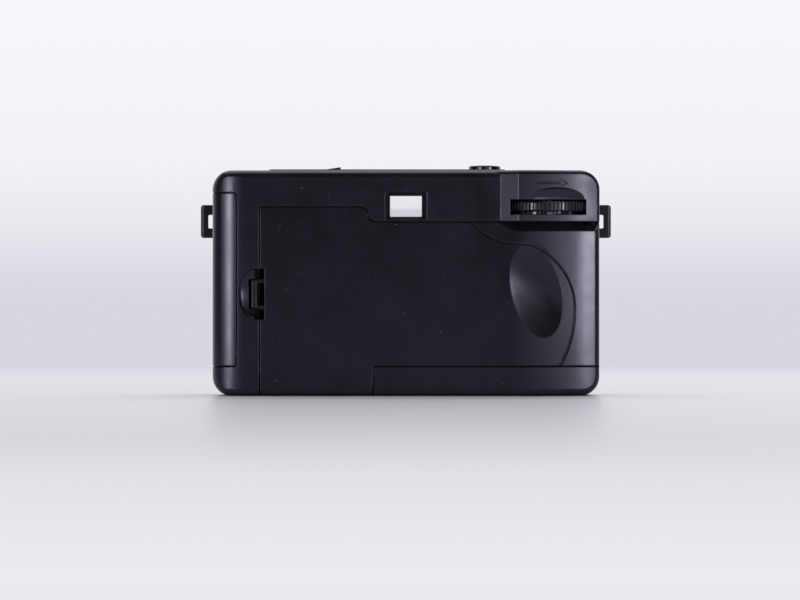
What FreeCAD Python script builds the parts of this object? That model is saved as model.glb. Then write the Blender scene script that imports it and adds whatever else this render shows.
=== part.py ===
# Compact 35 mm film camera, modelled as the pieces it comes apart into.
# Millimetres. X runs to the right as seen from the back, Y towards the lens, Z up.
# The origin is on the bottom face, under the viewfinder, half way through the body.
import FreeCAD
import Part
import math
import os

Vec = FreeCAD.Vector

# Body
body_width = 113.0
body_depth = 30.0
room_under_cassette = 7.8
room_over_deck = 14.7
corner_radius = 5.6
shell_wall = 1.6
parting_y = 3.0
back_fillet = 2.0
front_fillet = 3.0
left_fillet = 5.3
left_sweep_radius = 18.0
left_sweep_angle = 20.0
left_sweep_inset = 9.7
hump_start = 20.0
hump_blend_radius = 40.0
hump_angle = 6.0
hump_run = 4.0
hump_radius = 56.0
joint_gap = 0.3
slip = 0.1

# Battery compartment, for one cell of 10.5 by 44.5
cell_radius = 5.25
cell_length = 44.5
cell_play = 0.15
tray_wall = 0.5
cover_top_drop = 6.7
cover_back_x = -49.5
cover_corner = 0.9
cover_pin_radius = 0.7
cover_barrel_radius = 1.2
cover_pin_y = 1.5

# Film path: cassette on the left, gate, sprocket, take-up spool on the right
chamber_wall = 0.8
cassette_radius = 12.5
cassette_play = 0.15
cassette_height = 43.6
lens_x = 2.6
gate_width = 36.0
gate_height = 24.0
film_width = 35.0
film_plane_inset = 3.4
focal_length = 31.0
deck_over_gate = 20.2
deck_thickness = 1.2
floor_over_cassette = 0.6
floor_thickness = 1.2
sprocket_over_gate = 14.1
spool_core_radius = 4.6
spool_chamber_radius = 10.3
sprocket_radius = 6.05
sprocket_teeth = 8
sprocket_x = 24.1
shaft_radius = 1.5

# Back door
door_over_deck = 0.7
door_step_drop = 4.4
door_notch_x = -9.7
door_step_x = -8.9
door_step_radius = 2.2
door_corner_radius = 0.9
door_lip_depth = 3.6
skin_angle = 4.6
skin_radius = 65.0
groove_width = 0.35
groove_depth = 0.2
bevel_tall = 2.5
bevel_deep = 1.8
dish_length = 26.8
dish_width = 14.5
dish_depth = 1.35
dish_wall = 0.8
dish_tilt = 22.0
dish_x = 37.9
dish_z = 30.3
hinge_pin_radius = 0.75
hinge_slip = 0.07

# Door latch
latch_travel = 2.0
latch_slot_height = 14.7
latch_bar_height = 8.1
latch_bar_width = 1.6
latch_plate = 0.9
latch_hook_short = 0.3
scoop_width = 5.1
scoop_height = 14.8
scoop_depth = 1.6

# Thumb wheel and its housing
housing_x = 26.4
housing_ramp_angle = 26.6
housing_proud = 3.5
housing_radius = 70.8
housing_wall = 1.2
housing_fillet = 1.2
wheel_radius = 13.4
wheel_thickness = 2.9
wheel_over_deck = 2.7
wheel_teeth = 72
tooth_depth = 0.6
slot_x = 41.4
slot_width = 22.0
slot_under_wheel = 0.9
slot_over_wheel = 0.5
thumb_x = 44.0
thumb_half_width = 9.0
thumb_rise = 3.5
thumb_depth = 1.3
axle_inset = 10.8

# Top
panel_left = -40.0
panel_right = 29.0
panel_back = -12.9
panel_front = 11.5
panel_proud = 0.3
panel_thickness = 1.0
button_x = 23.2
button_y = 2.0
button_radius = 4.65
button_proud = 1.6
button_travel = 1.2
well_over_roof = 0.4
crank_reach = 11.0
crank_dish_radius = 9.3
crank_tip_proud = 0.9
dial_x = 16.0
dial_y = -3.5
dial_under_roof = 3.1
dial_radius = 6.3
release_radius = 2.4
release_sunk = 0.35

# Optics and flash
lens_ring_radius = 15.0
lens_proud = 6.2
finder_x = 0.0
finder_over_deck = 4.2
finder_width = 9.2
finder_tall = 6.0
flash_x = -36.0
flash_drop = 8.5
flash_width = 22.0
flash_tall = 9.5

half_width = body_width / 2
back_y = -body_depth / 2
front_y = body_depth / 2
inner_back_y = back_y + shell_wall
inner_front_y = front_y - shell_wall

# From the left side inwards: wall, cell, tray wall, chamber wall, cassette
pocket_radius = cell_radius + cell_play
cell_x = -half_width + shell_wall + pocket_radius
cell_y = inner_back_y + pocket_radius
tray_right = cell_x + pocket_radius + tray_wall
chamber_radius = cassette_radius + cassette_play
cassette_x = tray_right + slip + chamber_wall + chamber_radius
cassette_y = inner_back_y + slip + chamber_radius
column_x = cassette_x - chamber_radius - slip
door_left = column_x + joint_gap

film_plane_y = back_y + film_plane_inset
gate_left = lens_x - gate_width / 2
gate_right = lens_x + gate_width / 2
gate_y = film_plane_y + 0.35
sprocket_y = film_plane_y + sprocket_radius

# From the bottom upwards: cassette, floor, sprocket, deck, and what stands over it
cassette_low = room_under_cassette
cassette_high = cassette_low + cassette_height
lens_z = (cassette_low + cassette_high) / 2
floor_z = cassette_low + floor_over_cassette
deck_z = lens_z + deck_over_gate
deck_top = deck_z + deck_thickness
sprocket_z = lens_z + sprocket_over_gate
door_bottom = floor_z + joint_gap
door_top_right = deck_z + door_over_deck
door_top_left = door_top_right + door_step_drop
cover_bottom = door_bottom
latch_z = lens_z
finder_z = deck_top + finder_over_deck
wheel_bottom = deck_top + wheel_over_deck

# From the top downwards
body_height = deck_top + room_over_deck
roof_z = body_height - shell_wall
top_z = body_height + panel_proud
panel_floor = top_z - panel_thickness
above = body_height + 10
under_roof = roof_z - 14
cover_top = body_height - cover_top_drop
flash_z = body_height - flash_drop
button_well = roof_z + well_over_roof
dial_z = roof_z - dial_under_roof

# From the right side inwards: wall, running gap, thumb wheel
wheel_x = half_width - shell_wall - joint_gap - wheel_radius
wheel_y = back_y + axle_inset
wheel_top = wheel_bottom + wheel_thickness
slot_bottom = wheel_bottom - slot_under_wheel
slot_top = wheel_top + slot_over_wheel


def box(x0, x1, y0, y1, z0, z1):
    return Part.makeBox(x1 - x0, y1 - y0, z1 - z0, Vec(x0, y0, z0))


def post(x, y, z0, z1, radius):
    return Part.makeCylinder(radius, z1 - z0, Vec(x, y, z0), Vec(0, 0, 1))


def rod_y(x, z, y0, y1, radius):
    return Part.makeCylinder(radius, y1 - y0, Vec(x, y0, z), Vec(0, 1, 0))


def rod_x(y, z, x0, x1, radius):
    return Part.makeCylinder(radius, x1 - x0, Vec(x0, y, z), Vec(1, 0, 0))


def fuse(first, *others):
    return first.fuse(list(others)).removeSplitter()


def cut(first, *others):
    return first.cut(list(others)).removeSplitter()


def keep(name, shape):
    """Writes one piece and reports a shape that isn't sound solids."""
    os.makedirs("parts", exist_ok=True)
    if not shape.Solids or not shape.isValid():
        print("unsound piece", name)
    shape.exportStep("parts/" + name + ".step")
    print(name, len(shape.Solids), "solids", round(shape.Volume, 1), "mm3")


class Outline:
    """A closed outline drawn like a pen stroke: runs, tangent turns and straight jumps."""

    def __init__(self, x, y, heading):
        self.at = (x, y)
        self.heading = math.radians(heading)
        self.edges = []

    def to(self, x, y):
        self.edges.append(Part.makeLine(Vec(self.at[0], self.at[1], 0), Vec(x, y, 0)))
        self.at = (x, y)
        return self

    def run(self, length):
        x = self.at[0] + length * math.cos(self.heading)
        y = self.at[1] + length * math.sin(self.heading)
        return self.to(x, y)

    def turn(self, radius, degrees):
        side = 1 if degrees > 0 else -1
        sweep = math.radians(degrees)
        cx = self.at[0] - side * radius * math.sin(self.heading)
        cy = self.at[1] + side * radius * math.cos(self.heading)
        start = self.heading - side * math.pi / 2

        def spot(share):
            angle = start + sweep * share
            return Vec(cx + radius * math.cos(angle), cy + radius * math.sin(angle), 0)

        self.edges.append(Part.Arc(spot(0), spot(0.5), spot(1)).toShape())
        self.centre = (cx, cy)
        self.at = (spot(1).x, spot(1).y)
        self.heading += sweep
        return self

    def face(self):
        return Part.Face(Part.Wire(self.edges))

    def standing(self, z0, z1):
        """The outline read as X and Y, raised from z0 to z1."""
        solid = self.face().extrude(Vec(0, 0, z1 - z0))
        solid.translate(Vec(0, 0, z0))
        return solid

    def facing(self, y0, y1):
        """The outline read as X and Z, pushed from y0 to y1."""
        flat = self.face()
        flat.rotate(Vec(0, 0, 0), Vec(1, 0, 0), 90)
        solid = flat.extrude(Vec(0, y1 - y0, 0))
        solid.translate(Vec(0, y0, 0))
        return solid

    def spun(self, origin, axis):
        """The outline read as radius and height, turned about an upright or forward axis."""
        flat = self.face()
        flat.rotate(Vec(0, 0, 0), Vec(1, 0, 0), 90)
        solid = flat.revolve(Vec(0, 0, 0), Vec(0, 0, 1), 360)
        if axis == "y":
            solid.rotate(Vec(0, 0, 0), Vec(1, 0, 0), -90)
        solid.translate(origin)
        return solid


def rounded(x0, x1, y0, y1, radius):
    """A rectangle with equal round corners."""
    path = Outline(x0 + radius, y0, 0)
    for length in (x1 - x0, y1 - y0, x1 - x0, y1 - y0):
        path.run(length - 2 * radius).turn(radius, 90)
    return path


def ellipsoid(centre, half_x, half_y, half_z):
    matrix = FreeCAD.Matrix()
    matrix.scale(half_x, half_y, half_z)
    solid = Part.makeSphere(1.0).transformGeometry(matrix)
    solid.translate(Vec(*centre))
    return solid


def revolved(points, origin, axis="z"):
    """Straight-sided turned piece from (radius, height) corners."""
    path = Outline(points[0][0], points[0][1], 0)
    for radius, height in points[1:] + points[:1]:
        path.to(radius, height)
    return path.spun(origin, axis)


def taper(x, z, y0, half_x0, half_z0, y1, half_x1, half_z1):
    """A block along Y whose rectangle changes in size from y0 to y1."""
    return Part.makeWedge(x - half_x0, y0, z - half_z0, z - half_z1, x - half_x1,
                          x + half_x0, y1, z + half_z0, z + half_z1, x + half_x1)


# Outer form

def back_profile(inset, angle=None, radius=None):
    """Plan of the back: a sweep round the left end, a flat, then the hump at the right."""
    angle = hump_angle if angle is None else angle
    radius = hump_radius if radius is None else radius
    sweep = math.radians(left_sweep_angle)
    left_radius = left_sweep_radius - inset
    x = -half_width + left_sweep_inset - (left_sweep_radius - inset) * math.sin(sweep)
    y = back_y + left_sweep_radius - left_radius * math.cos(sweep)
    away = 20.0
    path = Outline(x - away * math.cos(sweep), y + away * math.sin(sweep), -left_sweep_angle)
    path.run(away).turn(left_radius, left_sweep_angle)
    path.run(hump_start - path.at[0])
    path.turn(hump_blend_radius + inset, -angle)
    path.run(hump_run)
    path.turn(radius - inset, angle + 22)
    path.hump_centre = path.centre
    path.run(away)
    path.to(path.at[0], front_y - inset)
    path.to(-half_width - away, front_y - inset)
    path.to(-half_width - away, y + away * math.tan(sweep))
    path.to(x - away * math.cos(sweep), y + away * math.sin(sweep))
    return path


def round_edges(solid, radii):
    """Fillets each edge with its own start and end radius, in one operation."""
    drawing = FreeCAD.newDocument("fillet")
    base = drawing.addObject("Part::Feature", "base")
    base.Shape = solid
    fillet = drawing.addObject("Part::Fillet", "fillet")
    fillet.Base = base
    fillet.Edges = radii
    drawing.recompute()
    result = fillet.Shape.copy()
    FreeCAD.closeDocument(drawing.Name)
    return result


def rim(inset, y0, y1):
    """The rounded rectangle of the body seen from behind, drawn in by inset."""
    side = half_width - inset
    outline = rounded(-side, side, inset, body_height - inset, corner_radius - inset)
    return outline.facing(y0, y1)


def envelope(inset):
    """The body without its wheel housing, drawn in by inset on every side."""
    reach = 40.0
    side = half_width - inset
    solid = rim(inset, back_y - reach, front_y - inset)
    plan = back_profile(inset).standing(-reach, body_height + reach)
    solid = solid.common(plan).removeSplitter()
    left = max(left_fillet - inset, 0.6)
    back = max(back_fillet - inset, 0.4)
    radii = []
    for number, edge in enumerate(solid.Edges, 1):
        spot = edge.BoundBox
        upright = spot.ZLength > body_height / 2
        at_side = abs(spot.Center.x) > side - 0.05
        if spot.YMax > back_y + 8 or (upright and not at_side):
            continue
        if upright and spot.XMax < 0:
            radii.append((number, left, left))
        elif spot.XMax < -side / 2 and spot.ZLength > 2:
            ends = [edge.valueAt(edge.FirstParameter), edge.valueAt(edge.LastParameter)]
            outer_first = abs(ends[0].x) > abs(ends[1].x)
            radii.append((number, left, back) if outer_first else (number, back, left))
        else:
            radii.append((number, back, back))
    solid = round_edges(solid, radii)
    if inset:
        return solid
    rim_edges = [e for e in solid.Edges if e.BoundBox.YMin > front_y - 0.01]
    return solid.makeFillet(front_fillet, rim_edges)


housing_bend = 1.2
housing_fall = 4.0


def housing_plan(inset):
    """Plan of the thumb wheel housing: a ramp up to a ridge, then a slow curve back to the side."""
    ramp = math.radians(housing_ramp_angle)
    run = housing_proud / math.sin(ramp)
    start_x = housing_x + (inset - housing_bend) * math.tan(ramp / 2)
    path = Outline(start_x, back_y + inset, 0)
    path.turn(housing_bend + inset, -housing_ramp_angle)
    path.run(run - housing_bend)
    path.ridge = path.at
    path.turn(max(housing_bend - inset, 0.1), housing_ramp_angle + housing_fall)
    path.turn(housing_radius - inset, 19)
    path.fall_centre = path.centre
    path.run(10)
    path.to(path.at[0], back_y + 12).to(start_x, back_y + 12).to(start_x, back_y + inset)
    return path


def housing(inset, low):
    """The thumb wheel housing as a block, drawn in by inset."""
    around = rim(inset, back_y - 12, back_y + 12)
    block = housing_plan(inset).standing(low, body_height - inset).common(around)
    if inset:
        return block
    edges = []
    for edge in block.Edges:
        spot = edge.BoundBox
        middle = edge.valueAt((edge.FirstParameter + edge.LastParameter) / 2)
        on_top = abs(middle.z - body_height) < 0.01
        on_side = abs(middle.x - half_width) < 0.01
        on_corner = middle.x > half_width - corner_radius and middle.z > body_height - corner_radius
        proud = spot.YMax < back_y + 6 and middle.y < back_y + 5.5
        if proud and (on_top or on_side or on_corner) and spot.YLength + spot.XLength > 0.2:
            edges.append(edge)
    return block.makeFillet(housing_fillet, edges)


hump_centre = back_profile(0).hump_centre
hinge_radius = back_fillet
hinge_x = half_width - hinge_radius
hinge_y = hump_centre[1] - math.sqrt((hump_radius - hinge_radius) ** 2 - (hinge_x - hump_centre[0]) ** 2)


def hump_y(x):
    """Y of the hump's outer surface at x."""
    return hump_centre[1] - math.sqrt(hump_radius ** 2 - (x - hump_centre[0]) ** 2)


body_outer = envelope(0)
body_inner = envelope(shell_wall)
housing_outer = housing(0, door_top_right)
housing_inner = housing(housing_wall, door_top_right + housing_wall)
outer = body_outer.fuse(housing_outer)
hollow = outer.cut([body_inner, housing_inner])

# Regions that the shells, the door and the battery cover share

def door_region(grow):
    """The door's outline seen from behind, grown by a gap, as a block through the back."""
    left = door_left - grow
    top_left = door_top_left + grow
    top_right = door_top_right + grow
    corner = max(door_corner_radius + grow, 0.2)
    radius = door_step_radius
    drop = door_step_drop / 2
    bend = math.degrees(math.acos(1 - drop / radius))
    width = 2 * radius * math.sin(math.radians(bend))
    low = door_bottom - grow
    path = Outline(left + corner, top_left, 0)
    path.run(door_step_x - width + grow / 2 - path.at[0])
    path.turn(radius, -bend).turn(radius, bend)
    path.to(half_width + 5, top_right).to(half_width + 5, low)
    path.to(door_notch_x + grow, low).to(door_notch_x + grow, -5).to(left, -5)
    path.to(left, top_left - corner)
    path.heading = math.pi / 2
    path.turn(corner, -90)
    return path.facing(back_y - 10, hinge_y + 20)


def door_zone(grow):
    """What the door takes out of the outer form: the back, and a lip under the bottom edge."""
    region = door_region(grow)
    front = back_y + door_lip_depth + grow
    behind = box(-60, 60, back_y - 10, front, -5, above)
    side = box(hinge_x - 4, 60, back_y - 10, hinge_y, -5, above)
    return region.common(behind.fuse(side))


def barrel(radius, z0, z1):
    return post(hinge_x, hinge_y, z0, z1, radius)


def cover_region(grow):
    """The battery cover seen from the left: round-cornered, from its back edge to its pivot."""
    reach = 20.0
    front = cover_pin_y
    height = rounded(-half_width - reach, cover_back_x + grow, cover_bottom - grow,
                     cover_top + grow, cover_corner + grow)
    block = height.facing(back_y - 5, front)
    pivot_x = -half_width + cover_barrel_radius
    bar = post(pivot_x, front, cover_bottom - grow, cover_top + grow, cover_barrel_radius + grow)
    return block.fuse(bar)


cover_pin_x = -half_width + cover_barrel_radius
door_cut = door_zone(joint_gap).fuse(barrel(hinge_radius + joint_gap, door_bottom - joint_gap,
                                            door_top_right + joint_gap))
swing_room = box(-half_width - 5, cover_pin_x, cover_pin_y, parting_y,
                 cover_bottom - joint_gap, cover_top + joint_gap)
cover_cut = cover_region(joint_gap).fuse(swing_room)

# Viewfinder
finder_tunnel_wall = 0.8
finder_glass_margin = 1.0
finder_bevel = 1.5
finder_boss_depth = 2.6
finder_front_width = 13.0
finder_front_tall = 8.6
eyepiece_y = back_y + 1.3
eyepiece_thickness = 1.2
finder_lens_thickness = 1.6
finder_lens_back = inner_front_y - 0.02 - finder_lens_thickness


def window(width, tall, y0, y1, x=finder_x, z=finder_z, radius=0.5):
    return rounded(x - width / 2, x + width / 2, z - tall / 2, z + tall / 2, radius).facing(y0, y1)


def flare(width0, tall0, y0, width1, tall1, y1, x=finder_x, z=finder_z):
    return taper(x, z, y0, width0 / 2, tall0 / 2, y1, width1 / 2, tall1 / 2)


# Screws and their bosses, as (x, y) on the bottom
screw_left = -4.0
screw_right = 35.0
screw_back = -6.5
screw_front = 9.5
screw_spots = [(x, y) for y in (screw_back, screw_front) for x in (screw_left, screw_right)]
screw_radius = 0.9
screw_head_radius = 2.0
screw_head_height = 1.0
screw_length = 6.5
screw_sunk = 0.3
boss_radius = 3.0
boss_top = 2.6


def bottom_holes():
    holes = []
    for x, y in screw_spots:
        holes.append(post(x, y, -1, screw_sunk + screw_head_height, screw_head_radius + slip))
        holes.append(post(x, y, -1, 12, screw_radius + 0.15))
    return holes


# Strap lugs
lug_y = 6.0
lug_thickness = 2.6
lug_drop = 9.8
lug_length = 9.7
lug_reach = 4.0
lug_bar = 2.2
lug_head = 0.8
lug_edge = 0.9
lug_hole_drop = 2.9
lug_hole_length = 4.0
lug_top = body_height - lug_drop
lug_bottom = lug_top - lug_length
lug_hole_top = lug_top - lug_hole_drop
lug_hole_bottom = lug_hole_top - lug_hole_length


def lug(side, gap):
    """Strap lug on one side: an eye outside, a neck through the wall, a head inside."""
    half = lug_thickness / 2
    wall = half_width - shell_wall
    neck = box(wall - slip, half_width + 0.05, lug_y - half - gap, lug_y + half + gap,
               lug_bottom + 1 - gap, lug_top - 1 + gap)
    if gap:
        solid = neck
    else:
        eye = box(half_width, half_width + lug_reach, lug_y - half, lug_y + half, lug_bottom, lug_top)
        far_edges = [e for e in eye.Edges if e.BoundBox.XMin > half_width + lug_reach - 0.01]
        eye = eye.makeFillet(lug_edge, far_edges)
        hole = rounded(half_width - 1, half_width + lug_reach - lug_bar, lug_hole_bottom, lug_hole_top, 0.4)
        eye = eye.cut(hole.facing(-60, 60))
        head = box(wall - lug_head - slip, wall - slip, lug_y - half - lug_head, lug_y + half + lug_head,
                   lug_bottom, lug_top)
        neck = neck.cut(box(half_width, half_width + 1, -60, 60, lug_hole_bottom, lug_hole_top))
        solid = fuse(eye, neck, head)
    if side < 0:
        solid = solid.mirror(Vec(0, 0, 0), Vec(1, 0, 0))
    return solid


def side_openings():
    return [lug(1, 0.05), lug(-1, 0.05)]


# Front panel
panel_half_width = 52.0
panel_low = 7.0
panel_high = lens_z + 18.4
panel_sunk = 0.5
front_panel_thickness = 0.8
switch_x = -45.5
switch_z = panel_high - 4.4
switch_travel = 4.0
switch_stem_width = 3.0
switch_stem_tall = 1.6


def switch_slot(gap):
    half = switch_stem_width / 2 + gap
    tall = switch_stem_tall / 2 + gap
    return box(switch_x - half, switch_x + half + switch_travel, 10, 20, switch_z - tall, switch_z + tall)


def front_panel_shape(grow, y0, y1):
    outline = rounded(-panel_half_width - grow, panel_half_width + grow,
                      panel_low - grow, panel_high + grow, 3.0)
    return outline.facing(y0, y1)


def front_panel():
    back = front_y - panel_sunk
    plate = front_panel_shape(0, back, back + front_panel_thickness)
    hole = rod_y(lens_x, lens_z, 10, 20, lens_ring_radius + slip)
    return cut(plate, hole, switch_slot(0.15))


# Top panel with the holes that go through it
dish_rim = 0.8
dish_floor_z = roof_z - 2.5
window_width = 3.4
window_length = 4.4
lamp_x = -12.0
lamp_y = 5.0
lamp_radius = 1.5


def top_panel_shape(grow, z0, z1):
    return rounded(panel_left - grow, panel_right + grow, panel_back - grow, panel_front + grow,
                   1.5 + grow).standing(z0, z1)


def dial_window(grow, z0, z1):
    """Opening over the frame counter's numbers, beside the dial's axis."""
    x = dial_x
    y = dial_y - dial_radius + 2.2
    half = window_width / 2 + grow
    deep = window_length / 2 + grow
    return box(x - half, x + half, y - deep, y + deep, z0, z1)


def top_panel():
    plate = top_panel_shape(0, panel_floor, top_z)
    top_edges = [e for e in plate.Edges if e.BoundBox.ZMin > top_z - 0.01]
    plate = plate.makeFillet(0.25, top_edges)
    holes = [
        post(cassette_x, cassette_y, panel_floor - 1, above, crank_dish_radius),
        post(button_x, button_y, panel_floor - 1, above, button_radius + 0.2),
        post(lamp_x, lamp_y, panel_floor - 1, above, lamp_radius + 0.05),
        dial_window(0, panel_floor - 1, above),
    ]
    return cut(plate, *holes)


def roof_openings():
    """Holes in the roof of the shells, under the top panel."""
    return [
        top_panel_shape(slip, panel_floor, above),
        post(cassette_x, cassette_y, dish_floor_z - 1, above, crank_dish_radius + dish_rim + slip),
        post(button_x, button_y, button_well, above, button_radius + 0.2),
        post(button_x, button_y, under_roof, above, button_stem_radius + slip),
        post(lamp_x, lamp_y, under_roof, above, lamp_radius + 0.05),
        dial_window(0.6, under_roof, above),
    ]


button_stem_radius = 2.2

# Rear shell
ledge_inset = 1.2
ledge_depth = 1.1


def light_ledge():
    """The step inside the door opening that the door's rim closes over."""
    grown = door_region(joint_gap)
    shrunk = door_region(-ledge_inset)
    band = grown.cut(shrunk)
    y = inner_back_y + joint_gap
    strip = band.common(box(column_x + 4, 22, y, y + ledge_depth, door_bottom - 2, door_top_left + 3))
    root = door_region(joint_gap + 1.2).cut(grown)
    root = root.common(box(column_x + 4, 22, inner_back_y - 0.3, y + ledge_depth,
                           door_bottom - 2, door_top_left + 3))
    return strip.fuse(root).common(outer)


def scoop():
    shape = ellipsoid((door_left - 1.2, back_y, latch_z), scoop_width, scoop_depth, scoop_height / 2)
    return shape


def latch_slot():
    """Opening in the column: a wide notch at the door's edge and a bay round the finger bar."""
    half = latch_slot_height / 2
    bar = latch_bar_height / 2 + joint_gap
    front = plate_back + 1.6
    wide = box(bar_right - 0.7, door_left + 1.0, back_y - 3, front, latch_z - half, latch_z + half)
    narrow = box(bar_left - 0.8, bar_right + 0.4, back_y - 3, front, latch_z - bar, latch_z + bar)
    return wide.fuse(narrow)


def hinge_blocks():
    """Corner blocks above and below the door that hold the ends of the hinge pin."""
    low = box(hinge_x - 2.4, half_width - 0.5, hinge_y - 1.6, hinge_y + 3.5, 1.0, door_bottom - joint_gap)
    high = post(hinge_x, hinge_y, door_top_right + joint_gap, pin_top + 0.2, 1.7)
    return low.fuse(high).common(outer)


pin_bottom = 4.0
pin_top = door_top_right + 2.5


def housing_slot():
    half = slot_width / 2
    return box(slot_x - half, slot_x + half, back_y - 6, back_y + 3, slot_bottom, slot_top)


def wheel_scoop():
    """The thumb's hollow above the slot, sunk square to the housing's curve."""
    centre_x, centre_y = housing_plan(0).fall_centre
    slope = math.asin((thumb_x - centre_x) / housing_radius)
    skin_y = centre_y - housing_radius * math.cos(slope)
    hollow_shape = ellipsoid((0, 0, 0), thumb_half_width, thumb_depth, thumb_rise)
    hollow_shape.rotate(Vec(0, 0, 0), Vec(0, 0, 1), math.degrees(slope))
    hollow_shape.translate(Vec(thumb_x, skin_y, slot_top))
    return hollow_shape


def thumb_pad():
    """Extra wall behind the thumb's hollow, over the wheel."""
    return box(slot_x - slot_width / 2, thumb_x + thumb_half_width, back_y - 5, back_y + 1.0,
               slot_top, slot_top + thumb_rise + housing_wall)


def arrow_outline():
    """An outlined arrow that shows which way the wheel turns, seen from behind."""
    y = back_y - 5
    z = body_height - 3.7
    length = 9.2
    shaft = 0.5
    head = 0.95
    start = slot_x - 3.5
    path = Outline(start, z - shaft / 2, 0)
    path.to(start + length - 2.2, z - shaft / 2).to(start + length - 2.2, z - head)
    path.to(start + length, z).to(start + length - 2.2, z + head)
    path.to(start + length - 2.2, z + shaft / 2).to(start, z + shaft / 2).to(start, z - shaft / 2)
    return path.facing(y, back_y + 2)


def engraved_arrow(depth):
    skin = outer.cut(housing(depth, door_top_right).fuse(body_outer))
    return arrow_outline().common(skin)


def rear_shell():
    shell = hollow.common(box(-80, 80, -60, parting_y, -5, above))
    extra = [
        hinge_blocks(),
        post(cover_pin_x + 0.2, cover_pin_y, cover_bottom - 3.0, cover_bottom - joint_gap, 1.8),
        post(cover_pin_x + 0.2, cover_pin_y, cover_top + joint_gap, cover_top + 2.5, 1.8),
        box(bar_left - 3.0, column_x, inner_back_y - 0.2, plate_back + 0.9,
            latch_z - hook_half, latch_z + hook_half),
        thumb_pad(),
        window(finder_width + 4.2, finder_tall + 4.2, back_y + 0.6, back_y + finder_boss_depth),
    ]
    for x, y in screw_spots:
        if y < parting_y:
            extra.append(post(x, y, 0.5, boss_top, boss_radius))
    body = box(-80, 80, -60, parting_y, 0, above)
    shell = shell.fuse([piece.common(outer).common(body) for piece in extra])
    shell = shell.cut(door_cut.fuse(cover_cut)).fuse(light_ledge())
    shell = shell.cut(barrel(hinge_pin_radius + 0.02, pin_bottom, pin_top))
    shell = shell.cut(barrel(hinge_radius + joint_gap, door_bottom - joint_gap, door_top_right + joint_gap))
    for z0 in (cover_bottom - joint_gap - 1.3, cover_top + joint_gap):
        shell = shell.cut(post(cover_pin_x, cover_pin_y, z0, z0 + 1.3, cover_pin_radius + hinge_slip))
    recess = flare(finder_width + 3.0, finder_tall + 2.1, back_y,
                   finder_width, finder_tall, back_y + finder_bevel)
    tools = [
        scoop(), latch_slot(), housing_slot(), wheel_scoop(), engraved_arrow(0.15), recess,
        window(finder_width, finder_tall, back_y - 1, back_y + 3),
        window(finder_width + 2 * finder_glass_margin, finder_tall + 2 * finder_glass_margin,
               eyepiece_y, back_y + 3, radius=1.0),
        post(wheel_x, wheel_y, wheel_bottom - joint_gap, wheel_top + joint_gap, wheel_radius + joint_gap),
    ]
    tools.append(post(sprocket_x, sprocket_y, -1, 3, release_radius + slip))
    return cut(shell, *(tools + bottom_holes() + roof_openings()))


# Front shell
lens_hole_radius = 12.2


def flash_window(grow, y0, y1):
    return window(flash_width + 2 * grow, flash_tall + 2 * grow, y0, y1, flash_x, flash_z, 1.6 + grow)


def front_shell():
    shell = hollow.common(box(-80, 80, parting_y, 60, -5, above))
    extra = []
    for x, y in screw_spots:
        if y > parting_y:
            extra.append(post(x, y, 0.5, boss_top, boss_radius))
    shell = shell.fuse([piece.common(outer) for piece in extra])
    tools = [
        front_panel_shape(slip, front_y - panel_sunk, front_y + 5),
        rod_y(lens_x, lens_z, 10, 20, lens_hole_radius),
        flash_window(0.1, 13.9, 20),
        flash_window(-1.0, 10, 20),
        window(finder_front_width, finder_front_tall, 10, 20),
        window(finder_front_width + 2.2, finder_front_tall + 1.6, front_y - 0.6, 20, radius=1.0),
        switch_slot(0.15),
    ]
    return cut(shell, *(tools + side_openings() + bottom_holes() + roof_openings()))


# Back door
def door_bevel():
    """The slope along the door's top edge under the wheel housing, run out to nothing on the left."""
    low = door_top_right - bevel_tall
    inside = hump_radius - bevel_deep
    cutter = revolved([(hump_radius, low), (inside, door_top_right), (inside, door_top_right + 2),
                       (hump_radius + 3, door_top_right + 2), (hump_radius + 3, low)],
                      Vec(hump_centre[0], hump_centre[1], 0))
    ridge_x = housing_plan(0).ridge[0]
    full = box(ridge_x, hinge_x + 10, back_y - 8, 20, low - 1, door_top_right + 3)
    corner = Vec(ridge_x, hump_y(ridge_x), low)
    along = Vec(housing_x, hump_y(housing_x), door_top_right) - corner
    inward = Vec(ridge_x, hump_y(ridge_x) + bevel_deep, door_top_right) - corner
    spots = [corner - along - inward, corner + along * 2 - inward, corner + along * 2 + inward * 2,
             corner - along + inward * 2]
    outward = along.cross(inward).normalize()
    if outward.y > 0:
        outward = outward * -1
    slope = Part.Face(Part.makePolygon(spots + spots[:1])).extrude(outward * 12)
    fading = box(housing_x - 2, ridge_x, back_y - 8, 20, low - 1, door_top_right + 3)
    return cutter.common(full).fuse(slope.common(fading))


def skin_outline(shift=0):
    """The curved border of the raised skin, closed round the lower left of the door."""
    high = door_top_right + 0.6
    start = hump_start - 1.7 + shift / math.sin(math.radians(45))
    path = Outline(start, high, -45)
    path.run(2.6).turn(16.9 - shift, 40).run(4.4).turn(8.0 + shift, -20)
    path.turn(19.8 + shift, -65).turn(34.6 + shift, -32)
    path.to(path.at[0], -3).to(hump_start - 5, -3)
    path.to(hump_start - 5, high).to(start, high)
    return path


def skin_groove():
    """A fine groove that follows the skin's border."""
    half = groove_width / 2
    ribbon = skin_outline(half).facing(-30, 0).cut(skin_outline(-half).facing(-30, 0))
    deep = back_profile(groove_depth, skin_angle, skin_radius).standing(-5, body_height)
    return ribbon.cut(deep)


def skin_step():
    """What is taken off the hump on the low side of the skin's border."""
    low = back_profile(0, skin_angle, skin_radius).standing(-3, above)
    band = box(hump_start - 3, hinge_x - 2.5, back_y - 5, back_y + 8, -2, above).cut(low)
    return band.common(skin_outline().facing(back_y - 8, back_y + 8))


skin_centre = back_profile(0, skin_angle, skin_radius).hump_centre


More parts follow.
